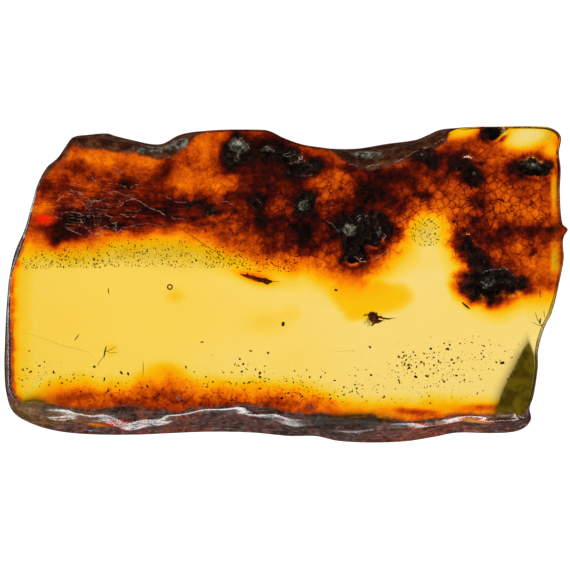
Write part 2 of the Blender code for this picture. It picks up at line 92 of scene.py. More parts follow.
# The natural edge below its widest line, its waves and its even steps outwards
PROFILE_BULGE = 1.35
WIDEST_HEIGHT = 0.5
WIDEST_DROP = 0.033
BACK_INSET = 0.3
BACK_INSET_SHARE = 0.35
LUMP_WAVES = ((0.37, 4.0, 0.0), (0.83, -2.5, 1.3))
LUMP_HEIGHT = 0.16
LUMP_LEDGE = 5.0
PRESS_DOWN = 0.4

# The crust that lies in a shallow hollow of the back, past a line
CRUST_LINE = (
    (-66.0, 10.5), (-52.0, 9.0), (-42.0, 10.5), (-31.0, 12.0), (-20.0, 10.0), (-8.0, 6.5), (1.0, 5.0),
    (10.5, 2.8), (17.7, 1.6), (23.0, 5.2), (26.5, 9.5), (28.5, 14.5), (32.0, 17.0), (37.0, 16.5),
    (39.5, 12.5), (41.5, 7.0), (43.5, 0.0), (48.0, -3.6), (54.0, -2.6), (60.0, -1.8), (66.0, -2.5),
)
CRUST_DEPTH = 1.5
CRUST_RAMP = 5.0
CRUST_WAVES = ((0.21, 0.13, 0.4), (-0.17, 0.34, 1.9), (0.43, -0.29, 3.1), (0.08, 0.61, 0.7))
CRUST_WAVE_HEIGHT = 0.16
LINE_POINTS = 500
LINE_STRIDE = 4

# The broken facet of the back at the lower right
FACET_START = (49.0, -29.5)
FACET_TIP = (55.2, -12.0)
FACET_SLOPE = 0.34
FACET_OVERSHOOT = 1.5
FACET_FADE = 4.0

# The pits in the front face: x, y, half length, half width, turn in degrees and depth
PIT_STEEPNESS = 1.2
PIT_WANDER = ((2.8, 0.8), (1.1, 0.45))
WANDER_SEEDS = (51, 53)
FRONT_PITS = (
    (-10.2, 31.8, 3.0, 2.2, -20, 1.0),
    (-4.2, 31.0, 2.0, 1.7, 0, 0.7),
    (2.4, 28.4, 4.4, 1.9, -20, 0.8),
    (-21.3, 18.9, 1.8, 1.4, -10, 0.2),
    (-17.1, 16.6, 1.8, 1.5, 0, 0.3),
    (-6.1, 19.1, 1.6, 1.4, 0, 0.3),
    (4.6, 18.2, 2.7, 2.3, 20, 0.9),
    (18.4, 12.0, 5.4, 4.4, -15, 1.3),
    (16.2, 6.4, 2.0, 2.5, 0, 0.8),
    (31.3, 28.8, 2.9, 2.3, -25, 0.5),
    (41.6, 27.4, 2.8, 2.4, 10, 0.5),
    (56.9, 26.9, 4.6, 2.3, -5, 1.0),
    (48.4, 35.6, 2.6, 2.2, 0, 0.9),
    (47.9, 0.0, 7.4, 4.3, -4, 1.4),
    (42.6, 9.2, 3.4, 3.1, 30, 0.5),
)

# The natural edge's section. Along the lower edge, the ridge that catches the light starts at these shares of
# the ledge, by pixels along it, and everywhere else at EDGE_RIDGE. A narrow bead low down has the ridge's
# slope too. Slopes are in degrees, and widths are shares of the ledge.
RIDGE_LINE = (
    (0, 0.30), (50, 0.30), (66, 0.16), (97, 0.22), (112, 0.38), (128, 0.50), (150, 0.42), (175, 0.20),
    (200, 0.08), (240, 0.04), (265, 0.16), (300, 0.24), (345, 0.34), (370, 0.26), (395, 0.12), (440, 0.03),
    (500, 0.04), (530, 0.08),
)
EDGE_RIDGE = 0.25
RIDGE_WIDTH = 0.34
UPPER_SLOPE = 12.0
RIDGE_SLOPE = 26.0
BEAD = (0.85, 0.91)
CORNER_WIDTH = 0.06
RING_SPACING = 1.5

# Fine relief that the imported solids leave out: sizes, heights and, on the edge, the stretch down the slope
EDGE_RELIEF = ((7.0, 0.26, 1.42), (2.6, 0.13, 1.16))
RELIEF_DOWN = 9.0
PIT_RELIEF = ((1.6, 0.24), (0.8, 0.12))
CRUST_RELIEF = ((2.2, 0.07), (1.1, 0.03))

# Where marks end, in millimetres, apart from the two shares of the side: how far the rind's ragged border
# comes in from the rim, the ledges of full border and full rind, and how far back the edges turn matte
SHORE = 2.6
SHORE_LEDGE = 2.0
RIND_LEDGE = 1.6
MATTE_START = 20.0
MATTE_WIDTH = 6.0
UPPER_FADE = 0.6
WEDGE_SHADE_END = 4.0

# How far the amber has turned to oxide, from 0, clear, to 1, black, by millimetres past the crust line
OXIDE_REACH = (-6.5, -4.0, -2.0, -0.6, 0.8, 2.5, 5.0)
OXIDE_AT_REACH = (0.0, 0.06, 0.17, 0.28, 0.42, 0.535, 0.60)

# How noise pushes or shades the oxide's parts: each wave's size, reach and seed
CRUST_SWAY = ((5.0, 0.9, 21), (1.9, 0.5, 22))
GLOW_SWAY = ((16, 3.0, 23), (6, 1.5, 24))
LEFT_SWAY = ((5, 1.5, 28),)
CLOUD_SWAY = (((9, 4, 26),), ((9, 4, 27),))
STAIN_SWAY = (((14, 3, 29),), ((14, 3, 30),))
BODY_SIZE = (60, 40)
BODY_REACH = 0.008
BODY_SLANT = 0.35
BODY_MIDDLE = 300
BODY_WIDTH = 420

# Soft clouds of darker oxide: x and y in pixels, half length, half width, turn in degrees and strength
CLOUDS = (
    (66, 234, 28, 12, 0, 0.84),
    (50, 228, 26, 6, 4, 0.50),
    (84, 216, 40, 14, -4, 0.62),
    (130, 210, 52, 20, -6, 0.52),
    (112, 224, 46, 9, -3, 0.58),
    (165, 215, 40, 12, -8, 0.45),
    (126, 186, 14, 12, -40, 0.62),
    (108, 178, 26, 10, 0, 0.25),
    (78, 166, 20, 6, 0, 0.38),
    (60, 190, 20, 12, 0, 0.34),
    (163, 166, 8, 13, 0, 0.50),
    (150, 188, 22, 14, 0, 0.30),
    (176, 203, 20, 12, 0, 0.40),
    (194, 203, 12, 9, -10, 0.72),
    (210, 212, 9, 7, 0, 0.95),
    (228, 207, 20, 9, 0, 0.35),
    (240, 150, 20, 17, 30, 0.94),
    (260, 152, 44, 20, 6, 0.74),
    (233, 163, 10, 9, 40, 0.85),
    (267, 150, 13, 12, 0, 0.92),
    (288, 158, 17, 11, -10, 0.85),
    (306, 168, 22, 11, 12, 0.86),
    (300, 164, 34, 16, 12, 0.72),
    (280, 140, 16, 8, -20, 0.30),
    (258, 176, 34, 16, 0, 0.52),
    (286, 186, 34, 14, 0, 0.42),
    (256, 200, 15, 13, 0, 0.80),
    (238, 196, 14, 8, 0, 0.45),
    (306, 206, 15, 14, 0, 0.90),
    (263, 220, 20, 15, 0, 0.80),
    (290, 226, 36, 13, 0, 0.55),
    (304, 231, 16, 12, 0, 0.80),
    (285, 244, 34, 10, 6, 0.45),
    (316, 248, 20, 10, 0, 0.45),
    (330, 222, 20, 22, 0, 0.45),
    (350, 229, 23, 20, 0, 0.97),
    (374, 233, 21, 21, -20, 0.96),
    (355, 256, 15, 14, 0, 0.95),
    (376, 190, 26, 28, 0, 0.72),
    (362, 200, 30, 14, 0, 0.45),
    (400, 178, 26, 12, 0, 0.55),
    (398, 204, 16, 12, -30, 0.60),
    (423, 196, 20, 7, 0, 0.58),
    (424, 160, 18, 13, -15, 0.90),
    (406, 150, 22, 8, -10, 0.55),
    (355, 166, 40, 6, -6, 0.60),
    (464, 165, 17, 15, 20, 0.80),
    (474, 176, 12, 10, 0, 0.80),
    (450, 156, 12, 10, 0, 0.40),
    (440, 178, 14, 12, 0, 0.40),
    (480, 200, 12, 14, 20, 0.42),
    (494, 134, 12, 9, 0, 0.97),
    (532, 168, 24, 13, 0, 0.85),
    (514, 176, 12, 9, 0, 0.35),
    (512, 231, 62, 8, 2, 0.60),
    (462, 234, 16, 8, 0, 0.55),
    (475, 222, 10, 7, 0, 0.55),
    (456, 218, 10, 8, 0, 0.30),
    (462, 248, 17, 15, -40, 0.85),
    (478, 262, 18, 12, -20, 0.88),
    (495, 285, 28, 15, -4, 0.90),
    (514, 288, 22, 8, -24, 0.70),
    (500, 244, 16, 9, 0, 0.50),
    (530, 253, 7, 6, 0, 0.65),
    (548, 232, 14, 10, 0, 0.45),
    (530, 290, 10, 14, 0, 0.25),
    (554, 280, 6, 12, 0, 0.35),
)

# The black crumbly masses over the pits, with a flatter middle and a sharper border than the clouds, and
# blacker oxide under them
MASSES = (
    (239, 145, 17, 12, 0, 0.95),
    (231, 158, 9, 14, 15, 0.85),
    (247, 160, 9, 9, 0, 0.50),
    (267, 151, 12, 11, 0, 0.85),
    (288, 157, 15, 9, 10, 0.80),
    (304, 168, 25, 12, 8, 0.85),
    (258, 202, 8, 7, 0, 0.85),
    (263, 217, 8, 8, 0, 0.50),
    (306, 205, 15, 15, 0, 1.00),
    (211, 212, 11, 7, 0, 0.90),
    (193, 203, 10, 6, 0, 0.70),
    (366, 230, 34, 20, 0, 1.00),
    (339, 228, 11, 8, 0, 0.70),
    (355, 252, 14, 15, 0, 1.00),
    (424, 158, 20, 11, -20, 0.80),
    (463, 162, 16, 12, 20, 0.55),
    (474, 176, 9, 9, 0, 0.60),
    (531, 167, 24, 12, 0, 1.00),
    (545, 170, 11, 6, 20, 0.80),
    (494, 132, 13, 9, 0, 1.00),
    (466, 246, 15, 13, -40, 0.62),
    (480, 260, 12, 8, -30, 0.60),
    (489, 285, 36, 22, 0, 1.00),
    (517, 284, 13, 8, 20, 0.80),
)
MASS_EDGE = 2.6
MASS_HALO = 1.03
MASS_OXIDE = 0.96

# Patches where the crust is thin and the amber shows clearer
PALE_PATCHES = (
    (530, 134, 38, 15, 0, 1.00),
    (520, 142, 22, 10, 0, 0.80),
    (552, 150, 10, 10, 0, 0.60),
    (464, 131, 24, 9, 12, 0.72),
    (440, 140, 14, 6, 20, 0.30),
    (102, 158, 40, 10, -4, 0.30),
    (150, 160, 20, 10, 0, 0.22),
    (42, 208, 14, 8, 10, 0.34),
    (205, 150, 18, 22, 10, 0.30),
    (192, 180, 24, 12, 0, 0.26),
    (216, 184, 16, 14, 0, 0.22),
    (232, 180, 10, 8, 0, 0.15),
    (334, 178, 22, 14, 10, 0.16),
    (322, 192, 20, 10, 0, 0.12),
    (310, 152, 22, 6, -14, 0.15),
    (520, 206, 40, 18, 0, 0.12),
    (500, 158, 22, 8, 0, 0.18),
    (456, 200, 20, 12, 0, 0.14),
    (440, 186, 16, 8, 0, 0.10),
    (535, 268, 22, 14, 0, 0.20),
    (520, 250, 14, 8, 0, 0.15),
    (556, 262, 5, 24, 0, 0.75),
    (555, 190, 4, 34, 0, 0.65),
)

# Soft stains in the clear amber, and the ones with an even colour inside a clear edge
STAINS = (
    (175, 296, 11, 8, 0, 0.09),
    (268, 322, 26, 13, 0, 0.055),
    (292, 313, 12, 9, 0, 0.04),
    (254, 277, 25, 9, -16, 0.20),
    (255, 277.5, 19, 4.5, -16, 0.30),
    (292, 268, 14, 9, 0, 0.12),
    (110, 350, 8, 8, 0, 0.06),
    (492, 302, 34, 9, -4, 0.16),
    (164, 370, 22, 10, 0, 0.12),
    (352, 268, 34, 14, 10, 0.14),
    (300, 262, 200, 12, 0, 0.03),
)
EVEN_STAINS = (
    (352, 292, 24, 21, 30, 0.155),
    (384, 299, 30, 18, 4, 0.155),
    (366, 309, 24, 14, 10, 0.155),
)
EVEN_EDGE = 4.0
CLEAR_OXIDE = (0.075, 0.012)

# The glow of oxide along the lower rim starts at this line, and the one along the left rim at the rim itself
GLOW_LINE = (
    (0, 400), (25, 398), (45, 386), (60, 380), (85, 379), (105, 383), (128, 382), (140, 374), (152, 372),
    (168, 370), (182, 374), (195, 379), (240, 381), (300, 383), (325, 391), (345, 400), (400, 402),
    (440, 400), (480, 398), (510, 402), (570, 402),
)
GLOW_REACH = (-7, 0, 6, 13, 20, 30)
OXIDE_AT_GLOW = (0.0, 0.08, 0.20, 0.34, 0.48, 0.62)
GLOW_CLOUDS = (
    (86, 396, 28, 8, 0, 0.26),
    (172, 400, 22, 5, -6, 0.08),
    (124, 402, 12, 6, 0, 0.25),
    (260, 404, 50, 4, 0, 0.20),
    (420, 413, 34, 4, -6, 0.46),
    (486, 408, 20, 4, 0, 0.40),
    (515, 408, 18, 6, 0, 0.95),
)
LEFT_REACH = (0.0, 2.0, 6.0, 22.0)
OXIDE_AT_LEFT = (0.46, 0.20, 0.08, 0.0)

# Painted shade over the broken facet: a dark greenish tint that stands for the dark its slope throws there,
# as corners in pixels and how soft the side after each is, and patches of the same tint on the edge
OLIVE_WEDGE_SHADE = (
    (528, 328, 4), (533, 342, 3), (539, 357, 3), (541, 390, 3), (536, 426, 3), (480, 426, 18), (493, 386, 18),
    (507, 358, 15),
)
OLIVE_PATCHES = (
    (30, 407, 26, 13, 8, 0.99),
    (60, 418, 40, 8, 8, 0.90),
    (358, 418, 40, 7, 0, 0.90),
    (557, 258, 4, 22, 0, 0.40),
    (557, 195, 3, 30, 0, 0.25),
)

# How red the rind of the lower edge is, by pixels along it
WARMTH = (
    (0, 0.2), (60, 0.5), (100, 0.7), (180, 0.8), (240, 0.3), (330, 0.15), (390, 0.6), (430, 1.0), (490, 0.8),
    (530, 0.2),
)

# Fractures that catch the light in the dark crust, their glints painted as pale lines, most of them at the
# left, as their pixels and strength
FRACTURES = (
    (((57, 202), (62, 198), (67, 194), (75, 195), (84, 197), (91, 201), (97, 204)), 0.8),
    (((72, 190), (80, 193), (90, 199)), 0.6),
    (((93, 178), (96, 182), (101, 185), (107, 183), (115, 184), (121, 185), (126, 188)), 0.8),
    (((115, 168), (120, 170), (124, 173)), 0.5),
    (((117, 175), (122, 176), (126, 179)), 0.6),
    (((131, 188), (136, 185), (141, 185)), 0.7),
    (((107, 192), (117, 192), (127, 196), (133, 195)), 0.6),
    (((94, 200), (99, 201), (106, 199)), 0.9),
    (((64, 213), (71, 212), (80, 213), (84, 215)), 1.0),
    (((54, 211), (56, 217), (61, 219)), 0.9),
    (((120, 207), (124, 204), (129, 200), (136, 199), (142, 203), (150, 208), (158, 211), (166, 215),
      (174, 218)), 1.0),
    (((100, 214), (108, 216), (114, 218), (118, 222)), 0.7),
    (((121, 215), (127, 217), (135, 217)), 0.9),
    (((175, 219), (184, 219)), 0.6),
    (((82, 222), (86, 228), (91, 233), (98, 234), (104, 231)), 1.0),
    (((66, 229), (74, 231), (81, 234)), 0.8),
    (((68, 224), (78, 225), (90, 228)), 0.5),
    (((112, 221), (118, 227), (117, 233)), 0.6),
    (((122, 229), (132, 226), (143, 224)), 0.5),
    (((91, 207), (97, 209), (108, 210)), 0.6),
    (((168, 198), (177, 202), (186, 203)), 0.5),
    (((60, 171), (65, 167)), 0.5),
    (((74, 184), (80, 185)), 0.4),
    (((107, 227), (114, 229), (124, 231)), 0.8),
    (((86, 240), (94, 236), (104, 235)), 0.4),
    (((146, 223), (158, 226), (166, 225)), 0.3),
    (((61, 206), (68, 204), (76, 206)), 0.5),
    (((70, 218), (78, 219), (84, 222)), 0.6),
    (((84, 206), (90, 211), (95, 216), (99, 222)), 0.6),
    (((96, 225), (101, 228), (107, 226)), 0.7),
    (((104, 203), (110, 206), (118, 207)), 0.5),
    (((88, 217), (93, 220), (101, 220)), 0.6),
    (((126, 209), (132, 212), (140, 211)), 0.4),
    (((110, 197), (118, 200), (124, 204)), 0.4),
    (((76, 200), (83, 204), (90, 205)), 0.5),
    (((136, 170), (144, 174), (148, 180)), 0.3),
    (((355, 258), (361, 262), (370, 261), (380, 256), (388, 250)), 1.0),
    (((395, 163), (404, 158), (414, 153), (430, 146), (445, 139)), 0.9),
    (((338, 160), (346, 164), (356, 166)), 0.6),
    (((366, 167), (378, 165), (388, 159), (395, 153)), 0.9),
    (((328, 222), (334, 226), (338, 231)), 0.5),
    (((285, 163), (292, 164), (299, 160)), 0.8),
    (((300, 176), (307, 177), (314, 174)), 0.5),
    (((216, 203), (226, 202), (232, 205)), 0.5),
)
RED_FLARE = (43, 219, 9, 4.5, 0, 1.0)

# Where the oxide shows cells and cracks, and where it shows long streaks
CRAZED = (
    (480, 215, 120, 90, 0, 1.0),
    (330, 225, 120, 70, 0, 1.0),
    (210, 190, 70, 60, 0, 0.45),
    (110, 180, 80, 50, 0, 0.25),
    (290, 396, 300, 22, 0, 0.72),
)
STREAKED = ((110, 205, 110, 38, -8, 1.0), (215, 220, 60, 22, -8, 0.5), (510, 228, 60, 7, 0, 0.6))

# Haze of dust and fine bubbles in the clear amber
HAZE = (
    (70, 259, 50, 7, 0, 0.70),
    (150, 252, 92, 13, 0, 0.95),
    (235, 258, 60, 8, 8, 0.60),
    (426, 232, 13, 13, 0, 0.70),
    (556, 262, 5, 24, 0, 0.90),
    (554, 190, 4, 34, 0, 0.80),
    (550, 136, 12, 6, 30, 0.70),
    (530, 134, 30, 9, 0, 0.25),
)

# Grey mineral: in the middles of the pits, on the scooped edges and as lumps on the lower edge
MINERALS = (
    (239, 146, 14, 9, -20, 1.00),
    (236, 158, 6, 8, 30, 0.50),
    (267, 150, 9, 6, 0, 0.55),
    (295, 161, 12, 5, -20, 0.50),
    (194, 203, 6, 5, 0, 0.45),
    (258, 202, 6, 5, 0, 0.50),
    (304, 206, 9, 8, 10, 0.85),
    (350, 230, 10, 9, -20, 0.95),
    (362, 221, 14, 6, -30, 0.40),
    (379, 231, 7, 9, 0, 0.42),
    (463, 160, 6, 5, 0, 0.35),
    (473, 174, 5, 4, 0, 0.65),
    (416, 166, 4, 3, 20, 0.40),
    (532, 166, 12, 7, 0, 0.60),
    (487, 283, 12, 10, 40, 0.60),
    (156, 148, 36, 8, 8, 0.80),
    (180, 142, 14, 8, -20, 0.85),
    (367, 154, 22, 8, 0, 0.88),
    (124, 410, 20, 9, 0, 0.58),
    (311, 407, 8, 8, 0, 0.60),
    (325, 423, 6, 5, 0, 0.50),
    (178, 398, 4, 3, 0, 0.90),
    (556, 262, 4, 16, 0, 0.42),
    (548, 232, 8, 4, 0, 0.30),
    (92, 416, 9, 6, 0, 0.45),
    (362, 418, 6, 3, 0, 0.60),
    (380, 431, 7, 3, 0, 0.55),
    (255, 424, 20, 8, 0, 0.35),
    (210, 427, 12, 4, 0, 0.35),
    (478, 430, 10, 4, 0, 0.40),
    (470, 230, 14, 2.5, 0, 0.50),
)

# Places on the edges where the rind is thin and the amber shows through, and where it is darker
EDGE_WINDOWS = (
    (106, 424, 42, 6, 4, 1.00),
    (165, 405, 30, 4, 8, 0.60),
    (475, 420, 34, 5, -6, 0.75),
    (420, 424, 22, 4, -6, 0.70),
    (28, 410, 22, 10, 10, 0.60),
    (395, 426, 20, 3, -6, 0.50),
    (512, 128, 46, 5, 0, 0.90),
)
EDGE_SHADES = (
    (352, 419, 50, 9, 0, 1.10),
    (325, 424, 14, 9, 0, 0.70),
    (123, 411, 21, 9, 0, 0.80),
    (505, 420, 18, 7, 0, 0.40),
    (240, 426, 30, 6, 0, 0.30),
    (30, 408, 34, 14, 10, 0.30),
    (405, 146, 72, 15, -8, 0.45),
    (352, 158, 30, 9, 0, 0.60),
    (90, 434, 80, 2, 0, 0.50),
)

# Places on the lower edge that mirror next to nothing
QUIET_EDGES = (
    (348, 421, 54, 11, 0, 2.50),
    (28, 410, 30, 16, 10, 1.50),
    (124, 409, 20, 8, 0, 1.50),
)

# Lumps and hollows of the edges: place, half length and half width in pixels, turn, and height in millimetres
EDGE_LUMPS = (
    (124, 407, 18, 7, 0, 0.6),
    (92, 412, 12, 8, 0, 0.4),
    (311, 408, 10, 8, 0, 1.0),
    (345, 422, 34, 6, -4, -0.5),
    (200, 418, 40, 6, 4, -0.7),
    (255, 414, 22, 6, -4, 0.6),
    (430, 424, 26, 6, 0, 0.5),
    (60, 414, 20, 8, 12, -0.6),
    (500, 421, 20, 6, 0, 0.5),
    (163, 149, 22, 6, 6, -0.6),
    (369, 158, 20, 5, 0, -0.8),
)

# Specks of debris in the lower part: where they are thick, and the large ones with half widths in pixels. The
# least size of the small ones and how much larger some are is in pixels too, their heights in millimetres.
SPECK_CLOUDS = (
    (432, 368, 54, 22, 0, 1.00),
    (418, 372, 26, 14, 0, 0.50),
    (390, 384, 90, 10, 0, 0.50),
    (320, 384, 80, 13, 0, 0.55),
    (480, 352, 46, 20, 0, 0.45),
    (235, 380, 50, 16, 0, 0.50),
    (238, 366, 12, 9, 0, 0.90),
    (150, 388, 60, 14, 0, 0.50),
    (100, 394, 40, 9, 0, 0.60),
    (60, 380, 46, 14, 0, 0.45),
    (30, 376, 20, 12, 0, 0.45),
    (290, 398, 250, 9, 0, 0.40),
)
SPECK_TRIES = 5200
SPECK_SHARE = 0.5
SPECK_AREA = ((16, 532), (335, 405))
SPECK_SIZES = (0.42, 0.75)
SPECK_HEIGHTS = (4.0, 10.5)
SPECK_FLATNESS = 0.8
LARGE_SPECKS = (
    (409, 368, 1.9), (416, 377, 1.6), (427, 376, 1.6), (399, 357, 1.4), (404, 356, 1.5), (421, 362, 1.4),
    (431, 349, 1.4), (370, 347, 1.3), (503, 363, 1.9), (496, 362, 1.5), (484, 346, 1.3), (448, 349, 1.3),
    (450, 345, 1.1), (121, 373, 1.8), (128, 374, 1.5), (108, 391, 1.4), (104, 380, 1.2), (94, 367, 1.4),
    (53, 372, 1.2), (39, 366, 1.0), (30, 372, 1.2), (186, 367, 1.4), (260, 373, 1.4), (260, 377, 1.6),
    (268, 353, 1.5), (251, 351, 1.2), (207, 387, 1.1), (206, 377, 1.0), (282, 398, 1.8), (302, 397, 1.5),
    (344, 395, 1.2), (371, 375, 1.3), (283, 324, 2.0), (202, 342, 1.2), (240, 359, 1.2), (243, 364, 1.2),
    (29, 351, 1.1), (147, 386, 1.1), (44, 362, 0.9), (67, 380, 1.1), (194, 372, 1.0), (336, 290, 1.3),
)

# The band of dust and fine bubbles under the crust
DUST_TOP = ((20, 258), (40, 246), (90, 246), (115, 240), (150, 237), (200, 240), (250, 248), (300, 258))
DUST_BOTTOM = ((20, 270), (60, 268), (150, 267), (220, 268), (300, 272))
DUST_COUNT = 1000
DUST_ENDS = (22, 298)
DUST_SIZES = (0.38, 0.55)
DUST_HEIGHTS = (3.5, 6.5)
DUST_FLATNESS = 0.7
DUST_LEAN = 0.7
BUBBLE_PATCH = (426, 233, 15, 15)
BUBBLE_COUNT = 110
BUBBLE_SIZES = (0.4, 0.4)
FEW_LARGE = 3

# Fibres and wisps, as their pixels, half width in pixels and how solid they look
FIBRE_TAPER = (0.35, 0.85, 1.0, 0.85, 0.35)
FIBRE_LOWEST = 5.0
FIBRE_SPREAD = 4.0
FIBRES = (
    (((106, 346), (104.5, 352), (103.5, 358)), 0.75, 0.95),
    (((104, 356), (100, 361), (97, 366)), 0.40, 0.40),
    (((105, 352), (110, 350), (117, 346)), 0.50, 0.35),
    (((104, 351), (112, 353), (119, 352)), 0.40, 0.30),
    (((143, 361), (143.4, 368), (142.6, 377)), 0.35, 0.60),
    (((79, 334), (76, 338), (74, 341)), 0.60, 0.60),
    (((108, 288), (108.6, 294)), 0.55, 0.80),
    (((18, 331), (42, 338), (66, 347), (90, 352)), 0.30, 0.16),
    (((60, 344), (90, 353), (104, 372)), 0.25, 0.08),
    (((256.5, 271.4), (259, 271.3), (261.5, 271.5)), 0.45, 0.80),
    (((271, 281.6), (275, 281.4), (280, 281.7)), 0.30, 0.60),
    (((462, 302), (466, 306), (470, 309)), 1.10, 0.85),
    (((535, 312), (538, 321), (544, 328)), 0.50, 0.50),
    (((541, 318), (540, 324)), 0.90, 0.70),
    (((532, 322), (540, 326), (546, 324)), 0.45, 0.45),
    (((540, 290), (541, 298)), 0.50, 0.70),
    (((544, 310), (545, 318)), 0.40, 0.50),
    (((180, 228), (192, 236), (206, 246), (222, 256)), 0.35, 0.55),
    (((222, 222), (234, 234), (240, 248)), 0.30, 0.45),
    (((333, 352), (358, 350)), 0.20, 0.20),
)

# The round bubble: place in pixels, radius in pixels and height in millimetres
BUBBLE = (170.0, 287.0, 3.2, 9.0)

# The insect's round parts: place in pixels, height, three half sizes in millimetres and turn in degrees
INSECT_BALLS = (
    (373.3, 316.9, 8.05, 1.30, 1.06, 0.85, -37),
    (371.6, 315.4, 8.30, 0.86, 0.80, 0.62, -37),
    (380.6, 317.3, 8.05, 0.42, 0.34, 0.36, -15),
    (381.3, 316.8, 8.26, 0.17, 0.20, 0.14, 0),
    (381.3, 318.0, 7.90, 0.17, 0.19, 0.14, 0),
)

# Its limbs as knots, each in pixels and with a height, their radii in millimetres, how pale and how flat they
# are
INSECT_LIMBS = (
    (((377.0, 316.8, 8.05), (380.0, 317.2, 8.05)), (0.34, 0.24), 0.0, 1.0),
    (((382.0, 317.2, 8.1), (384.5, 318.4, 8.2), (388.5, 319.0, 8.3), (392.0, 318.3, 8.4),
      (396.0, 318.0, 8.45)), (0.07, 0.22, 0.20, 0.09, 0.03), 0.35, 1.0),
    (((382.0, 317.8, 8.0), (383.6, 319.3, 7.9), (384.4, 320.2, 7.8)), (0.08, 0.13, 0.05), 0.3, 1.0),
    (((375.0, 320.5, 7.9), (374.0, 323.2, 7.8), (371.6, 325.8, 7.7)), (0.34, 0.34, 0.16), 0.55, 1.0),
    (((369.0, 316.0, 8.2), (367.0, 314.6, 8.3), (365.0, 315.0, 8.3), (363.4, 316.4, 8.3)),
     (0.08, 0.24, 0.24, 0.08), 0.9, 1.0),
    (((369.5, 319.0, 7.8), (367.6, 320.0, 7.7), (366.8, 322.6, 7.7)), (0.12, 0.10, 0.05), 0.8, 1.0),
    (((374.5, 314.0, 8.3), (376.3, 313.3, 8.3), (376.8, 315.0, 8.2)), (0.20, 0.24, 0.20), 0.1, 1.0),
    (((376.5, 319.5, 7.6), (379.0, 322.0, 7.2), (382.5, 320.8, 7.1), (385.5, 321.6, 7.1)),
     (0.10, 0.08, 0.05, 0.03), 0.8, 1.0),
    (((371.5, 319.5, 7.5), (369.0, 323.0, 7.1), (370.5, 326.0, 7.0)), (0.09, 0.06, 0.03), 0.85, 1.0),
)
ABDOMEN = (
    (371.5, 317.5, 7.9), (374.5, 320.6, 7.8), (378.0, 321.4, 7.8), (380.6, 321.0, 7.85), (382.8, 320.2, 7.9),
)
ABDOMEN_RADII = (0.85, 0.74, 0.46, 0.28, 0.06)
ABDOMEN_RINGS = 8
WINGS = (
    ((376.5, 315.2, 8.75), (370.0, 319.0, 8.85), (363.5, 323.4, 8.80)),
    ((376.5, 317.6, 8.70), (371.5, 321.6, 8.75), (367.5, 326.6, 8.70)),
)
WING_RADII = (0.06, 0.30, 0.56, 0.66, 0.62, 0.40, 0.10)
WING_FLATNESS = 0.03
WING_AROUND = 24
WING_STEPS = 40
VEIN_EVERY = 3
VEIN_FILM = 0.35
BRISTLES = 110
BRISTLE_LENGTH = 0.26
BRISTLE_RADII = (0.016, 0.006)
BRISTLE_DROOP = (-0.08, 0.02, 0.0)
BRISTLE_ROOT = 0.97

# The splinter as knots and radii, both in pixels, and a flake on its upper side
SPLINTER = ((240.0, 274.2), (246.0, 276.0), (254.0, 278.3), (262.0, 280.3), (268.0, 281.8), (272.6, 281.4))
SPLINTER_RADII = (0.3, 1.5, 1.9, 2.2, 2.9, 0.5)
FLAKE = ((246.6, 276.0), (247.4, 274.2), (247.8, 272.6))
FLAKE_RADII = (0.9, 0.9, 0.3)
SPLINTER_HEIGHT = 8.0


def smooth_step(value):
    """3t² - 2t³ from 0 to 1, and 0 below and 1 above."""
    value = np.clip(value, 0.0, 1.0)
    return value * value * (3 - 2 * value)


LATTICE = 64
SPOT_FALL = 1.6


def pixels(x, y):
    """The photograph's pixel over a point of the slab."""
    return x / PIXEL + PHOTO_MIDDLE[0], PHOTO_MIDDLE[1] - y / PIXEL


def lattice_noise(u, v, seed):
    """Noise from -1 to 1: random numbers on a square lattice, blended between its points by smooth steps."""
    table = np.random.default_rng(seed).uniform(-1, 1, (LATTICE, LATTICE))
    i, j = np.floor(u).astype(int), np.floor(v).astype(int)
    a, b = smooth_step(u - i), smooth_step(v - j)
    next_i, next_j = (i + 1) % LATTICE, (j + 1) % LATTICE
    i, j = i % LATTICE, j % LATTICE
    low = table[i, j] * (1 - a) + table[next_i, j] * a
    high = table[i, next_j] * (1 - a) + table[next_i, next_j] * a
    return low * (1 - b) + high * b


def sway(u, v, waves):
    """The sum of noises, each with its size, reach and seed."""
    return sum(reach * lattice_noise(u / size, v / size, seed) for size, reach, seed in waves)


def soft_spots(px, py, spots, power=1.3):
    """How much of any of the spots covers a pixel. Each spot is its strength times a bell over its turned
    ellipse, flatter with a higher power. Together they leave uncovered the product of what each leaves."""
    clear = np.ones_like(px)
    for x, y, half_length, half_width, turn, strength in spots:
        c, s = math.cos(math.radians(turn)), math.sin(math.radians(turn))
        along = ((px - x) * c - (py - y) * s) / half_length
        across = ((px - x) * s + (py - y) * c) / half_width
        clear = clear * (1 - strength * np.exp(-SPOT_FALL * (along**2 + across**2) ** power))
    return 1 - clear


def smooth_closed(knots, steps):
    """A closed curve through the knots: a cubic on each span whose slopes are the chords across its ends."""
    p = np.array(knots, float)
    ahead = np.roll(p, -1, axis=0)
    span = np.linalg.norm((ahead - p)[:, :2], axis=1)
    before = np.roll(span, 1)
    slope = (ahead - np.roll(p, 1, axis=0)) / (span + before)[:, None]
    t = (np.arange(steps) / steps)[None, :, None]
    leave = (slope * span[:, None])[:, None]
    arrive = (np.roll(slope, -1, axis=0) * span[:, None])[:, None]
    curve = (
        (2 * t**3 - 3 * t**2 + 1) * p[:, None]
        + (t**3 - 2 * t**2 + t) * leave
        + (3 * t**2 - 2 * t**3) * ahead[:, None]
        + (t**3 - t**2) * arrive
    )
    return curve.reshape(-1, p.shape[1])


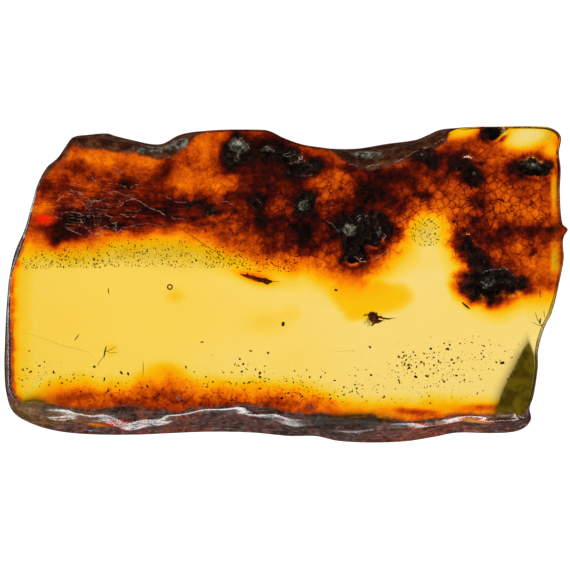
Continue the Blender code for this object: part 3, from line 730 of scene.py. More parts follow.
def outline_samples():
    """The outline as x, y and ledge, with even steps between its four corners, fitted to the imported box."""
    dense = smooth_closed(OUTLINE, SPAN_STEPS)
    rows = []
    for i, cells in enumerate((CELLS_ALONG, CELLS_ACROSS, CELLS_ALONG, CELLS_ACROSS)):
        first = CORNERS[i] * SPAN_STEPS
        last = CORNERS[(i + 1) % 4] * SPAN_STEPS
        run = dense[np.arange(first, last + 1 if last > first else last + len(dense) + 1) % len(dense)]
        along = np.concatenate([[0.0], np.cumsum(np.linalg.norm(np.diff(run[:, :2], axis=0), axis=1))])
        wanted = np.linspace(0.0, along[-1], cells + 1)[:-1]
        rows.append(np.stack([np.interp(wanted, along, run[:, k]) for k in range(3)], axis=1))
    samples = np.concatenate(rows)
    low, high = samples[:, :2].min(axis=0), samples[:, :2].max(axis=0)
    packed = (np.array(cad_box[1])[:2] - np.array(cad_box[0])[:2]) / MM
    samples[:, :2] = (samples[:, :2] - (low + high) / 2) * packed / (high - low)
    samples[:, 2] = np.maximum(samples[:, 2], LEAST_LEDGE)
    return samples


def outward_normals(points):
    """Outward normals of the outline, each the normal of the mean of the chords across it, the longest of
    which reaches NORMAL_REACH to either side."""
    step = np.linalg.norm(np.roll(points, -1, axis=0) - points, axis=1).mean()
    reach = max(1, round(NORMAL_REACH / step))
    chord = sum(np.roll(points, -k, axis=0) - np.roll(points, k, axis=0) for k in range(1, reach + 1))
    chord /= np.linalg.norm(chord, axis=1)[:, None]
    return np.stack([chord[:, 1], -chord[:, 0]], axis=1)


def blended_face(ring):
    """A grid over the inside of a four-sided ring: each point is the sum of the two straight blends between
    facing sides, less the blend of the four corners (a Coons patch)."""
    starts = np.cumsum([0, CELLS_ALONG, CELLS_ACROSS, CELLS_ALONG, CELLS_ACROSS])
    closed = np.concatenate([ring, ring[:1]])
    bottom, right, top, left = [closed[starts[i]:starts[i + 1] + 1] for i in range(4)]
    top, left = top[::-1], left[::-1]
    u = np.linspace(0, 1, CELLS_ALONG + 1)[None, :, None]
    v = np.linspace(0, 1, CELLS_ACROSS + 1)[:, None, None]
    ruled = (1 - v) * bottom[None] + v * top[None] + (1 - u) * left[:, None] + u * right[:, None]
    corners = (
        (1 - u) * (1 - v) * bottom[0] + u * (1 - v) * bottom[-1] + (1 - u) * v * top[0] + u * v * top[-1]
    )
    return ruled - corners


def wandered(x, y):
    """A place pushed about by two sizes of noise, so that the pits and the masses have irregular outlines."""
    push_x, push_y = [sway(x, y, [(*wave, seed) for wave in PIT_WANDER]) for seed in WANDER_SEEDS]
    return x + push_x, y + push_y


def pit_depth(x, y):
    """How deep the pits are at a point of the front face: flat-bottomed bowls, of which the deepest wins."""
    depth = np.zeros_like(x)
    x, y = wandered(x, y)
    for px, py, half_length, half_width, turn, deepest in FRONT_PITS:
        c, s = math.cos(math.radians(turn)), math.sin(math.radians(turn))
        along = ((x - px) * c + (y - py) * s) / half_length
        across = ((y - py) * c - (x - px) * s) / half_width
        depth = np.maximum(depth, deepest * smooth_step(PIT_STEEPNESS * (1 - np.hypot(along, across))))
    return depth


def crust_height(x, y):
    """How far the crust lies above the flat of the back face: a ramp up from CRUST_LINE with waves."""
    ramp = smooth_step(crust_distance(x, y) / CRUST_RAMP)
    waves = sum(np.sin(a * x + b * y + phase) for a, b, phase in CRUST_WAVES)
    fine = sum(height * lattice_noise(x / size, y / size, 11) for size, height in CRUST_RELIEF)
    return ramp * (CRUST_DEPTH + CRUST_WAVE_HEIGHT * waves + fine)


def facet_height(x, y):
    """The rise of the broken facet at the lower right: its slope times the distance past its first line."""
    line = np.subtract(FACET_TIP, FACET_START)
    line = line / np.linalg.norm(line)
    past = (x - FACET_START[0]) * line[1] - (y - FACET_START[1]) * line[0]
    tapered = past * smooth_step((FACET_TIP[1] + FACET_OVERSHOOT - y) / FACET_FADE)
    return FACET_SLOPE * np.maximum(tapered, 0.0)


def crust_distance(x, y):
    """The distance from the nearest of even points along CRUST_LINE, above 0 on the crust's side of it."""
    knots = np.array(CRUST_LINE)
    line_x = np.linspace(knots[0, 0], knots[-1, 0], LINE_POINTS)[::LINE_STRIDE]
    line_y = np.interp(line_x, *knots.T)
    nearest = np.full(x.shape, np.inf)
    for at_x, at_y in zip(line_x, line_y):
        nearest = np.minimum(nearest, np.hypot(x - at_x, y - at_y))
    return nearest * np.sign(y - np.interp(x, *knots.T))


def inside_share(px, py, corners):
    """How far a pixel is inside a convex outline, from 0 to 1: a smooth step of the least distance past its
    sides, each over how soft that side is."""
    corners = np.array(corners, float)
    ahead = np.roll(corners, -1, axis=0)
    area = np.sum(corners[:, 0] * ahead[:, 1] - ahead[:, 0] * corners[:, 1])
    share = np.full(px.shape, np.inf)
    for start, end in zip(corners, ahead):
        run = (end[:2] - start[:2]) / np.linalg.norm(end[:2] - start[:2])
        past = (run[0] * (py - start[1]) - run[1] * (px - start[0])) * np.sign(area)
        share = np.minimum(share, past / start[2])
    return smooth_step(share)


def nearest_fracture(px, py):
    """For each pixel, the distance in millimetres from the nearest fracture, below 0 on one side of it, the
    same without its sign, and that fracture's strength."""
    nearest = np.full(px.shape, np.inf)
    signed = np.zeros(px.shape)
    shine = np.zeros(px.shape)
    for line, strength in FRACTURES:
        for (x, y), (end_x, end_y) in zip(line, line[1:]):
            run_x, run_y = end_x - x, end_y - y
            share = np.clip(((px - x) * run_x + (py - y) * run_y) / (run_x**2 + run_y**2), 0.0, 1.0)
            gap = np.hypot(px - x - share * run_x, py - y - share * run_y)
            side = np.where((px - x) * run_y > (py - y) * run_x, 1.0, -1.0)
            closer = gap < nearest
            nearest = np.where(closer, gap, nearest)
            signed = np.where(closer, gap * side, signed)
            shine = np.where(closer, strength, shine)
    return signed * PIXEL, nearest * PIXEL, shine


def rim_closeness(front, ledge):
    """How close each point of the front grid is to a wide natural edge, from 0 at SHORE millimetres to 1 at
    the rim, measured along the point's own row and column of the grid."""
    ledge = np.concatenate([ledge, ledge[:1]])
    turns = np.cumsum([0, CELLS_ALONG, CELLS_ACROSS, CELLS_ALONG, CELLS_ACROSS])
    wide = [smooth_step(ledge[turns[i]:turns[i + 1] + 1] / SHORE_LEDGE) for i in range(4)]
    sides = (
        (front[:1], wide[0][None]),
        (front[:, -1:], wide[1][:, None]),
        (front[-1:], wide[2][None, ::-1]),
        (front[:, :1], wide[3][::-1, None]),
    )
    closeness = []
    for rim, share in sides:
        gap = np.linalg.norm(front - rim, axis=2)
        closeness.append(share * np.maximum(1 - gap / SHORE, 0.0))
    return np.maximum.reduce(closeness)


def oxide_depth(x, y):
    """How far the amber over a point of the back has turned to oxide, from 0 to 1: the crust's halo, the glow
    along the lower rim and the stains, darkened by the clouds and cleared by the pale patches."""
    px, py = pixels(x, y)
    crust = np.interp(crust_distance(x, y) + sway(x, y, CRUST_SWAY), OXIDE_REACH, OXIDE_AT_REACH)
    below = py - np.interp(px, *np.array(GLOW_LINE, float).T) + sway(px, py, GLOW_SWAY)
    glow = np.interp(below, GLOW_REACH, OXIDE_AT_GLOW)
    glow = glow + (1 - glow) * soft_spots(px, py, GLOW_CLOUDS)
    left = outline_samples()[CELLS_ALONG * 2 + CELLS_ACROSS:]
    left_x, left_y = pixels(left[:, 0] + left[:, 2], left[:, 1])
    from_left = px - np.interp(py, left_y, left_x) + sway(px, py, LEFT_SWAY)
    rim = np.interp(from_left, LEFT_REACH, OXIDE_AT_LEFT)
    body = np.interp(px - BODY_SLANT * (py - BODY_MIDDLE), (0, BODY_WIDTH), CLEAR_OXIDE)
    body = body + BODY_REACH * lattice_noise(px / BODY_SIZE[0], py / BODY_SIZE[1], 25)
    stains = soft_spots(px, py, STAINS)
    stain_x, stain_y = [at + sway(px, py, waves) for at, waves in zip((px, py), STAIN_SWAY)]
    for spot in EVEN_STAINS:
        stains = np.maximum(stains, soft_spots(stain_x, stain_y, [spot], EVEN_EDGE))
    level = 1 - (1 - np.maximum(np.maximum(crust, glow), rim)) * (1 - stains) * (1 - body)
    level = level * (1 - soft_spots(px, py, PALE_PATCHES))
    dark = soft_spots(*[at + sway(px, py, waves) for at, waves in zip((px, py), CLOUD_SWAY)], CLOUDS)
    in_crust = smooth_step((crust - 0.05) / 0.3)
    level = level + (1 - level) * dark * np.maximum(in_crust, 0.9 * dark)
    halos = [(*spot[:2], spot[2] * MASS_HALO, spot[3] * MASS_HALO, *spot[4:]) for spot in MASSES]
    return 1 - (1 - level) * (1 - MASS_OXIDE * soft_spots(*pixels(*wandered(x, y)), halos, MASS_EDGE))


def grid_faces(index, flip):
    """Quads over a grid of point numbers."""
    a, b, c, d = index[:-1, :-1], index[:-1, 1:], index[1:, 1:], index[1:, :-1]
    quads = np.stack([a, d, c, b] if flip else [a, b, c, d], axis=-1)
    return quads.reshape(-1, 4)


def rim_numbers(index):
    """The numbers round the edge of a grid, anticlockwise from its first corner."""
    return np.concatenate([index[0, :-1], index[:-1, -1], index[-1, :0:-1], index[:0:-1, 0]])


def edge_relief(along, down, ledge):
    """How far the natural edge is pressed in at a place along it and down it: two sizes of noise, above 0
    only, strongest where the ledge is wide, and none at the rims."""
    press = sum(
        height * (1 + lattice_noise(along / size, down * RELIEF_DOWN * stretch / size, 31))
        for size, height, stretch in EDGE_RELIEF
    )
    return press * np.sin(math.pi * down) * smooth_step(ledge / LUMP_LEDGE)


def rounded_corner(share, start):
    """The integral of a smooth step from 0 at the start to 1 at CORNER_WIDTH past it, from a share of 0."""
    def under(at):
        """The same integral over a width of 1."""
        step = np.clip(at, 0.0, 1.0)
        return step**3 - step**4 / 2 + np.maximum(at - 1.0, 0.0)

    return CORNER_WIDTH * (under((share - start) / CORNER_WIDTH) - under(-start / CORNER_WIDTH))


def edge_drop(share, ridge, ledge, fall):
    """How far the natural edge has dropped at a share of the way out from the front rim. Its slope is gentle
    down to the ridge, that of the ridge over its width, and then steep enough to reach the fall in the end,
    apart from the bead. Each change of slope is a smooth step, so the drop is a sum of rounded corners."""
    upper = math.tan(math.radians(UPPER_SLOPE))
    middle = math.tan(math.radians(RIDGE_SLOPE)) - upper

    def wall(at):
        """The drop by a share of the way out of a slope of 1 past the ridge, apart from the bead."""
        below_ridge = rounded_corner(at, ridge + RIDGE_WIDTH)
        return below_ridge - rounded_corner(at, BEAD[0]) + rounded_corner(at, BEAD[1])

    steep = (fall / ledge - upper - middle * rounded_corner(1.0, ridge)) / wall(1.0)
    return ledge * (upper * share + middle * rounded_corner(share, ridge) + steep * wall(share))


def side_rings(samples, normals, front, back):
    """The rings of the side between the front rim and the back rim: the edge's section out to the widest
    outline, pressed in and waved a little, then a superellipse's rounding under to the back."""
    ledge = samples[:, 2]
    widest = THICKNESS * WIDEST_HEIGHT - THICKNESS * WIDEST_DROP * ledge
    inset = BACK_INSET + BACK_INSET_SHARE * ledge
    step = np.linalg.norm(np.diff(samples[:, :2], axis=0, append=samples[:1, :2]), axis=1)
    along = np.cumsum(step)
    px, _ = pixels(samples[:, 0], samples[:, 1])
    lower_edge = smooth_step(-2 * normals[:, 1] - 0.6)
    ridge = EDGE_RIDGE + (np.interp(px, *np.array(RIDGE_LINE, float).T) - EDGE_RIDGE) * lower_edge
    rings = []
    shares = []
    for q in np.arange(1, FRONT_STEPS) / FRONT_STEPS:
        out = 1 - (1 - q) ** RING_SPACING
        lumps = sum(np.sin(a * samples[:, 0] + b * q + phase) for a, b, phase in LUMP_WAVES)
        lumps = lumps * math.sin(math.pi * q)
        press = edge_relief(along, np.full_like(along, q), ledge)
        offset = -ledge * (1 - out) + LUMP_HEIGHT * lumps * smooth_step(ledge / LUMP_LEDGE) - press * q
        drop = edge_drop(out, ridge, ledge, front[:, 2] - widest)
        height = front[:, 2] - drop - PRESS_DOWN * press * (1 - q)
        rings.append(np.column_stack([samples[:, :2] + normals * offset[:, None], height]))
        shares.append(q)
    rings.append(np.column_stack([samples[:, :2], widest]))
    shares.append(1.0)
    for q in np.arange(1, UNDER_STEPS) / UNDER_STEPS:
        under = 1 - (1 - q**PROFILE_BULGE) ** (1 / PROFILE_BULGE)
        height = widest + (back[:, 2] - widest) * q
        rings.append(np.column_stack([samples[:, :2] - normals * (inset * under)[:, None], height]))
        shares.append(1.0 + q)
    return rings, np.array(shares)


def ball(around, rings):
    """A unit sphere on a grid of turns and tilts, closed by a point at each pole, with its triangles and its
    quads."""
    tilt = math.pi * np.arange(1, rings + 1) / (rings + 1)
    turn = 2 * math.pi * np.arange(around) / around
    x = np.sin(tilt)[:, None] * np.cos(turn)
    y = np.sin(tilt)[:, None] * np.sin(turn)
    z = np.repeat(np.cos(tilt)[:, None], around, axis=1)
    points = np.concatenate([np.stack([x, y, z], axis=-1).reshape(-1, 3), [[0, 0, 1.0], [0, 0, -1.0]]])
    index = np.arange(rings * around).reshape(rings, around)
    index = np.column_stack([index, index[:, 0]])
    quads = grid_faces(index, True)
    top = np.stack([np.full(around, rings * around), index[0, :-1], index[0, 1:]], axis=1)
    bottom = np.stack([np.full(around, rings * around + 1), index[-1, 1:], index[-1, :-1]], axis=1)
    return points, np.vstack([top, bottom]), quads


SWELL = 0.07
RIPPLE = 1.3
TIP = 0.6


def tube(knots, radii, around=6, steps=14, flat=1.0, swells=0, rough=0.0):
    """A tube along a smoothed path through knots in millimetres, closed by a point at each end: its rings are
    ellipses across the path whose radii blend along the list, times 1 plus SWELL times a cosine for a number
    of even swells, and times 1 plus noise."""
    knots = np.array(knots, float)
    at = np.linspace(0, 1, steps)
    path = np.stack([np.interp(at, np.linspace(0, 1, len(knots)), knots[:, k]) for k in range(3)], axis=1)
    for _ in range(3):
        path[1:-1] = (path[:-2] + 2 * path[1:-1] + path[2:]) / 4
    run = np.gradient(path, axis=0)
    run /= np.linalg.norm(run, axis=1)[:, None]
    across = np.cross(run, (0.0, 0.0, 1.0))
    across /= np.linalg.norm(across, axis=1)[:, None]
    up = np.cross(across, run)
    turn = 2 * math.pi * np.arange(around) / around
    radius = np.interp(at, np.linspace(0, 1, len(radii)), radii)
    radius = radius * (1 + SWELL * np.cos(2 * math.pi * swells * at)) if swells else radius
    ripple = lattice_noise(
        RIPPLE * np.cos(turn) + 9 * at[:, None] + 8,
        RIPPLE * np.sin(turn) + 5 * at[:, None] + 8,
        81,
    )
    thick = (radius[:, None] * (1 + rough * ripple))[..., None]
    rings = path[:, None] + thick * (
        across[:, None] * np.cos(turn)[None, :, None] + up[:, None] * np.sin(turn)[None, :, None] * flat
    )
    tips = [path[0] - run[0] * radius[0] * TIP, path[-1] + run[-1] * radius[-1] * TIP]
    points = np.concatenate([rings.reshape(-1, 3), tips])
    index = np.arange(steps * around).reshape(steps, around)
    index = np.column_stack([index, index[:, 0]])
    first = np.stack([np.full(around, steps * around), index[0, :-1], index[0, 1:]], axis=1)
    last = np.stack([np.full(around, steps * around + 1), index[-1, 1:], index[-1, :-1]], axis=1)
    return points, np.vstack([first, last]), grid_faces(index, True)


def over_table(x, y, height):
    """The place in millimetres of a pixel at a height."""
    return (x - PHOTO_MIDDLE[0]) * PIXEL, (PHOTO_MIDDLE[1] - y) * PIXEL, height


def joined(parts):
    """Several sets of points, triangles and quads as one."""
    starts = np.cumsum([0] + [len(points) for points, _, _ in parts[:-1]])
    points = np.concatenate([part[0] for part in parts])
    triangles = np.concatenate([part[1] + start for part, start in zip(parts, starts)])
    quads = np.concatenate([part[2] + start for part, start in zip(parts, starts)])
    return points, triangles, quads


def speck_cloud(name, px, py, radius, heights, flatness, seed):
    """Many uneven specks in one piece: for each, a small ball stretched along a turned axis, with its points
    pushed in and out at random, at its pixel and between two heights."""
    random = np.random.default_rng(seed)
    unit, triangles, quads = ball(6, 3)
    count = len(px)
    push = 1 + 0.28 * random.uniform(-1, 1, (count, len(unit), 1))
    long = random.uniform(0.9, 1.5, count)
    wide = random.uniform(0.6, 1.0, count)
    stretch = np.stack([long, wide, np.full(count, flatness)], 1)
    shape = unit[None] * push * stretch[:, None] * np.asarray(radius)[:, None, None] * PIXEL
    turn = random.uniform(0, math.pi, count)
    c, s = np.cos(turn)[:, None], np.sin(turn)[:, None]
    x = shape[..., 0] * c - shape[..., 1] * s + ((px - PHOTO_MIDDLE[0]) * PIXEL)[:, None]
    y = shape[..., 0] * s + shape[..., 1] * c + ((PHOTO_MIDDLE[1] - py) * PIXEL)[:, None]
    z = shape[..., 2] + random.uniform(*heights, count)[:, None]
    points = np.stack([x, y, z], axis=-1).reshape(-1, 3)
    starts = (np.arange(count) * len(unit))[:, None, None]
    blocks = [(triangles[None] + starts).reshape(-1, 3), (quads[None] + starts).reshape(-1, 4)]
    shade = np.repeat(random.uniform(0, 1, count), len(unit))
    return new_piece(name, points, blocks, {"shade": shade}, smooth=False)


def specks():
    """The specks of debris: tries at random that are kept where the clouds of specks are thick, and the large
    ones at their places."""
    random = np.random.default_rng(61)
    px = random.uniform(*SPECK_AREA[0], SPECK_TRIES)
    py = random.uniform(*SPECK_AREA[1], SPECK_TRIES)
    kept = random.uniform(0, 1, SPECK_TRIES) < SPECK_SHARE * soft_spots(px, py, SPECK_CLOUDS)
    size = SPECK_SIZES[0] + SPECK_SIZES[1] * random.uniform(0, 1, SPECK_TRIES) ** FEW_LARGE
    px, py, size = np.concatenate([np.stack([px, py, size])[:, kept], np.array(LARGE_SPECKS).T], axis=1)
    return speck_cloud("specks", px, py, size, SPECK_HEIGHTS, SPECK_FLATNESS, 62)


def dust():
    """The band of dust, thickest towards its lower side, and the patch of fine bubbles in the clear bay."""
    random = np.random.default_rng(71)
    px = random.uniform(*DUST_ENDS, DUST_COUNT)
    share = random.uniform(0, 1, DUST_COUNT) ** DUST_LEAN
    top = np.interp(px, *np.array(DUST_TOP, float).T)
    bottom = np.interp(px, *np.array(DUST_BOTTOM, float).T)
    py = top + (bottom - top) * share
    size = DUST_SIZES[0] + DUST_SIZES[1] * random.uniform(0, 1, DUST_COUNT) ** FEW_LARGE
    turn = random.uniform(0, 2 * math.pi, BUBBLE_COUNT)
    reach = np.sqrt(random.uniform(0, 1, BUBBLE_COUNT))
    patch_x = BUBBLE_PATCH[0] + BUBBLE_PATCH[2] * reach * np.cos(turn)
    patch_y = BUBBLE_PATCH[1] + BUBBLE_PATCH[3] * reach * np.sin(turn)
    patch_size = BUBBLE_SIZES[0] + BUBBLE_SIZES[1] * random.uniform(0, 1, BUBBLE_COUNT)
    px, py = np.concatenate([px, patch_x]), np.concatenate([py, patch_y])
    return speck_cloud("dust", px, py, np.concatenate([size, patch_size]), DUST_HEIGHTS, DUST_FLATNESS, 72)


def fibres():
    """The thin fibres, threads and wisps in the clear amber, in one piece: tubes at five heights in turn."""
    parts = []
    solid = []
    for i, (knots, half_width, how_solid) in enumerate(FIBRES):
        height = FIBRE_LOWEST + FIBRE_SPREAD * ((i * 7) % 5) / 5
        knots = [over_table(x, y, height) for x, y in knots]
        parts.append(tube(knots, np.multiply(half_width * PIXEL, FIBRE_TAPER)))
        solid.append(np.full(len(parts[-1][0]), how_solid))
    points, triangles, quads = joined(parts)
    return new_piece("fibres", points, [triangles, quads], {"solid": np.concatenate(solid)})


def turned(points, degrees):
    """Points turned about the upright axis."""
    c, s = math.cos(math.radians(degrees)), math.sin(math.radians(degrees))
    x, y, z = points.T
    return np.column_stack([x * c - y * s, x * s + y * c, z])


def insect():
    """The insect: round parts with a little relief, a ringed abdomen, limbs, two folded wings with veins
    along them, and bristles that stand out of the largest round part. Its attributes say how pale each part
    is, and on the wings where the film between the veins is."""
    parts = []
    pale = []
    film = []

    def add(part, how_pale, how_filmy=0.0):
        """Adds a part with the marks of its points."""
        parts.append(part)
        pale.append(np.full(len(part[0]), how_pale))
        film.append(np.broadcast_to(how_filmy, len(part[0])))

    for x, y, height, *sizes, turn in INSECT_BALLS:
        unit, triangles, quads = ball(28, 18)
        relief = 1 + 0.05 * lattice_noise(3 * unit[:, 0] + 9, 3 * unit[:, 1] + 4 * unit[:, 2] + 9, 91)
        shape = turned(unit * relief[:, None] * sizes, turn)
        add((shape + over_table(x, y, height), triangles, quads), 0.0)
    abdomen = [over_table(*knot) for knot in ABDOMEN]
    add(tube(abdomen, ABDOMEN_RADII, around=24, steps=70, flat=0.85, swells=ABDOMEN_RINGS, rough=0.03), 0.12)
    for knots, radii, how_pale, flat in INSECT_LIMBS:
        add(tube([over_table(*knot) for knot in knots], radii, around=8, steps=16, flat=flat), how_pale)
    for knots in WINGS:
        path = [over_table(*knot) for knot in knots]
        blade = tube(path, WING_RADII, WING_AROUND, WING_STEPS, WING_FLATNESS)
        across = np.append(np.tile(np.arange(WING_AROUND), WING_STEPS), [0, 0])
        add(blade, 0.9, np.where(across % VEIN_EVERY == 0, VEIN_FILM, 1.0))

    # Bristles stand on the first round part, out along its own directions
    x, y, height, *sizes, turn = INSECT_BALLS[0]
    middle = np.array(over_table(x, y, height))
    ways = np.random.default_rng(95).normal(0, 1, (BRISTLES, 3))
    for root in turned(ways / np.linalg.norm(ways, axis=1)[:, None] * sizes, turn):
        tip = root * (1 + BRISTLE_LENGTH / np.linalg.norm(root)) + BRISTLE_DROOP
        add(tube([middle + root * BRISTLE_ROOT, middle + tip], BRISTLE_RADII, around=4, steps=4), 0.2)
    points, triangles, quads = joined(parts)
    attributes = {"pale": np.concatenate(pale), "film": np.concatenate(film)}
    return new_piece("gnat", points, [triangles, quads], attributes)


def splinter():
    """The splinter of bark: a rough tube, thin at its left end and blunt at its right, with a flake on it."""
    knots = [over_table(x, y, SPLINTER_HEIGHT) for x, y in SPLINTER]
    flake = [over_table(x, y, SPLINTER_HEIGHT + 0.1) for x, y in FLAKE]
    points, triangles, quads = joined([
        tube(knots, np.multiply(SPLINTER_RADII, PIXEL), around=28, steps=90, flat=0.75, rough=0.30),
        tube(flake, np.multiply(FLAKE_RADII, PIXEL), around=12, steps=16, flat=0.6, rough=0.25),
    ])
    return new_piece("splinter", points, [triangles, quads])


def new_piece(name, points, blocks, attributes=None, smooth=True):
    """A mesh piece from points in millimetres and blocks of faces, with float attributes on its points."""
    mesh = bpy.data.meshes.new(name)
    faces = [face for block in blocks for face in block.tolist()]
    mesh.from_pydata((points * MM).tolist(), [], faces)
    mesh.validate()
    for key, values in (attributes or {}).items():
        layer = mesh.attributes.new(key, "FLOAT", "POINT")
        layer.data.foreach_set("value", np.asarray(values, np.float32).ravel())
    if smooth:
        mesh.shade_smooth()
    piece = bpy.data.objects.new(name, mesh)
    bpy.context.scene.collection.objects.link(piece)
    return piece


def edge_lift(px, py, shares):
    """How far EDGE_LUMPS raise the natural edge: their heights, times half a wave down the slope."""
    lift = np.zeros(len(px))
    for *place, height in EDGE_LUMPS:
        lift += height * soft_spots(px, py, [(*place, 1.0)])
    return lift * np.sin(math.pi * np.minimum(shares, 1.0))


def slab_marks(points, is_front, is_back, side, ledge, shore):
    """What the slab's material needs to know at each point: how far it has turned to oxide, and how much of
    the crust, the natural edge, the fractures and the other marks is there. The edge's thin places and its
    mineral fade down the side, and the painted shade over the broken facet ends at the front rim."""
    x, y = points[:, 0], points[:, 1]
    px, py = pixels(x, y)
    tear, near, shine = nearest_fracture(px, py)
    upper_part = smooth_step((1.0 - side) / UPPER_FADE)
    wedge_shade = inside_share(px, py, OLIVE_WEDGE_SHADE) * smooth_step(1.0 - WEDGE_SHADE_END * side)
    mineral = np.where(is_back, 0.0, soft_spots(px, py, MINERALS))
    windows = soft_spots(px, py, EDGE_WINDOWS)
    return {
        "face": np.where(is_front, 1.0, np.where(is_back, 0.0, 0.5)),
        "oxide": np.where(is_front, 0.0, oxide_depth(x, y)),
        "craze": soft_spots(px, py, CRAZED),
        "streak": soft_spots(px, py, STREAKED),
        "haze": soft_spots(px, py, HAZE),
        "olive_tone_and_shade": np.maximum(wedge_shade, soft_spots(px, py, OLIVE_PATCHES)),
        "flare": soft_spots(px, py, [RED_FLARE]),
        "pit": np.where(is_front, soft_spots(*pixels(*wandered(x, y)), MASSES, MASS_EDGE), 0.0),
        "mineral": mineral * upper_part,
        "tear": tear,
        "near": near,
        "shine": np.where(is_front, shine, 0.0),
        "edge": side,
        "shore": shore,
        "rind": smooth_step((ledge + 0.5) / RIND_LEDGE) * (1 - upper_part * windows),
        "matte": smooth_step((y - MATTE_START) / MATTE_WIDTH),
        "shade": soft_spots(px, py, EDGE_SHADES),
        "quiet": soft_spots(px, py, QUIET_EDGES),
        "warmth": np.interp(px, *np.array(WARMTH, float).T),
    }


def amber_slab():
    """The slab in one clear skin, with its marks: a front grid with the pits, a back grid with the crust and
    the facet, the rings of the side between their rims, and a round bubble. The bubble is a hole in the
    amber, so its faces point into it, and none of the marks reach it."""
    samples = outline_samples()
    normals = outward_normals(samples[:, :2])
    ledge = samples[:, 2:3]
    front = blended_face(samples[:, :2] - normals * ledge)
    back = blended_face(samples[:, :2] - normals * (BACK_INSET + BACK_INSET_SHARE * ledge))
    x, y = front[..., 0], front[..., 1]
    pits = pit_depth(x, y)
    rough = sum(height * (1 + lattice_noise(x / size, y / size, 41)) for size, height in PIT_RELIEF)
    front = np.dstack([front, THICKNESS - pits - rough * smooth_step(pits / 0.5) * 0.6])
    back_x, back_y = back[..., 0], back[..., 1]
    back = np.dstack([back, np.maximum(crust_height(back_x, back_y), facet_height(back_x, back_y))])
    count = x.size
    front_index = np.arange(count).reshape(x.shape)
    back_index = front_index + count
    points = np.concatenate([front.reshape(-1, 3), back.reshape(-1, 3)])
    front_rim, back_rim = rim_numbers(front_index), rim_numbers(back_index)
    rings, shares = side_rings(samples, normals, points[front_rim], points[back_rim])
    side_index = np.arange(len(rings) * len(samples)).reshape(len(rings), -1) + 2 * count
    strip = np.vstack([front_rim, side_index, back_rim])
    strip = np.column_stack([strip, strip[:, 0]])
    points = np.vstack([points, *rings])
    side_points = points[2 * count:]
    lift = edge_lift(*pixels(side_points[:, 0], side_points[:, 1]), np.repeat(shares, len(samples)))
    points[2 * count:, 2] += lift
    points = np.clip(points, np.array(cad_box[0]) / MM, np.array(cad_box[1]) / MM)
    skin = np.vstack([grid_faces(front_index, False), grid_faces(back_index, True), grid_faces(strip, True)])

    # Where each point is: its share of the way down the side, its ledge and how close it is to the rim
    number = np.arange(len(points))
    is_front = number < count
    is_back = (number >= count) & (number < 2 * count)
    side = np.zeros(len(points))
    side[side_index] = shares[:, None]
    side[back_rim] = 2.0
    ledge_at = np.full(len(points), SHORE_LEDGE)
    ledge_at[side_index] = samples[None, :, 2]
    ledge_at[front_rim] = samples[:, 2]
    shore = np.zeros(len(points))
    shore[front_index] = rim_closeness(front[..., :2], samples[:, 2])
    shore[side_index] = 1.0
    marks = slab_marks(points, is_front, is_back, side, ledge_at, shore)

    unit, triangles, quads = ball(40, 24)
    bubble_x, bubble_y, radius, height = BUBBLE
    bubble = unit * radius * PIXEL + over_table(bubble_x, bubble_y, height)
    blocks = [skin, triangles[:, ::-1] + len(points), quads[:, ::-1] + len(points)]
    points = np.vstack([points, bubble])
    none = {key: np.full(len(bubble), float(key == "face")) for key in marks}
    marks = {key: np.concatenate([values, none[key]]) for key, values in marks.items()}
    return new_piece("amber", points, blocks, marks)


class Value:
    """A number's or a colour's socket in a material. Arithmetic on numbers adds the Math nodes."""

    def __init__(self, finish, socket):
        self.finish = finish
        self.socket = socket

    def math(self, operation, *others):
        """A Math node with this and the others as its numbers."""
        return self.finish.node("ShaderNodeMath", {"operation": operation}, dict(enumerate((self, *others))))

    def __add__(self, other):
        return self.math("ADD", other)

    def __sub__(self, other):
        return self.math("SUBTRACT", other)

    def __rsub__(self, other):
        return self.finish.node("ShaderNodeMath", {"operation": "SUBTRACT"}, {0: other, 1: self})

    def __mul__(self, other):
        return self.math("MULTIPLY", other)

    def __truediv__(self, other):
        return self.math("DIVIDE", other)

    def __abs__(self):
        return self.math("ABSOLUTE")

    def output(self, name):
        """Another output of the same node."""
        return Value(self.finish, self.socket.node.outputs[name])

    def least(self, other):
        """The smaller of two numbers."""
        return self.math("MINIMUM", other)

    def most(self, other):
        """The larger of two numbers."""
        return self.math("MAXIMUM", other)

    def rise(self, low, high):
        """0 below low, 1 above high and a smooth step between them."""
        ends = {"Value": self, "From Min": low, "From Max": high}
        return self.finish.node("ShaderNodeMapRange", {"interpolation_type": "SMOOTHSTEP"}, ends)


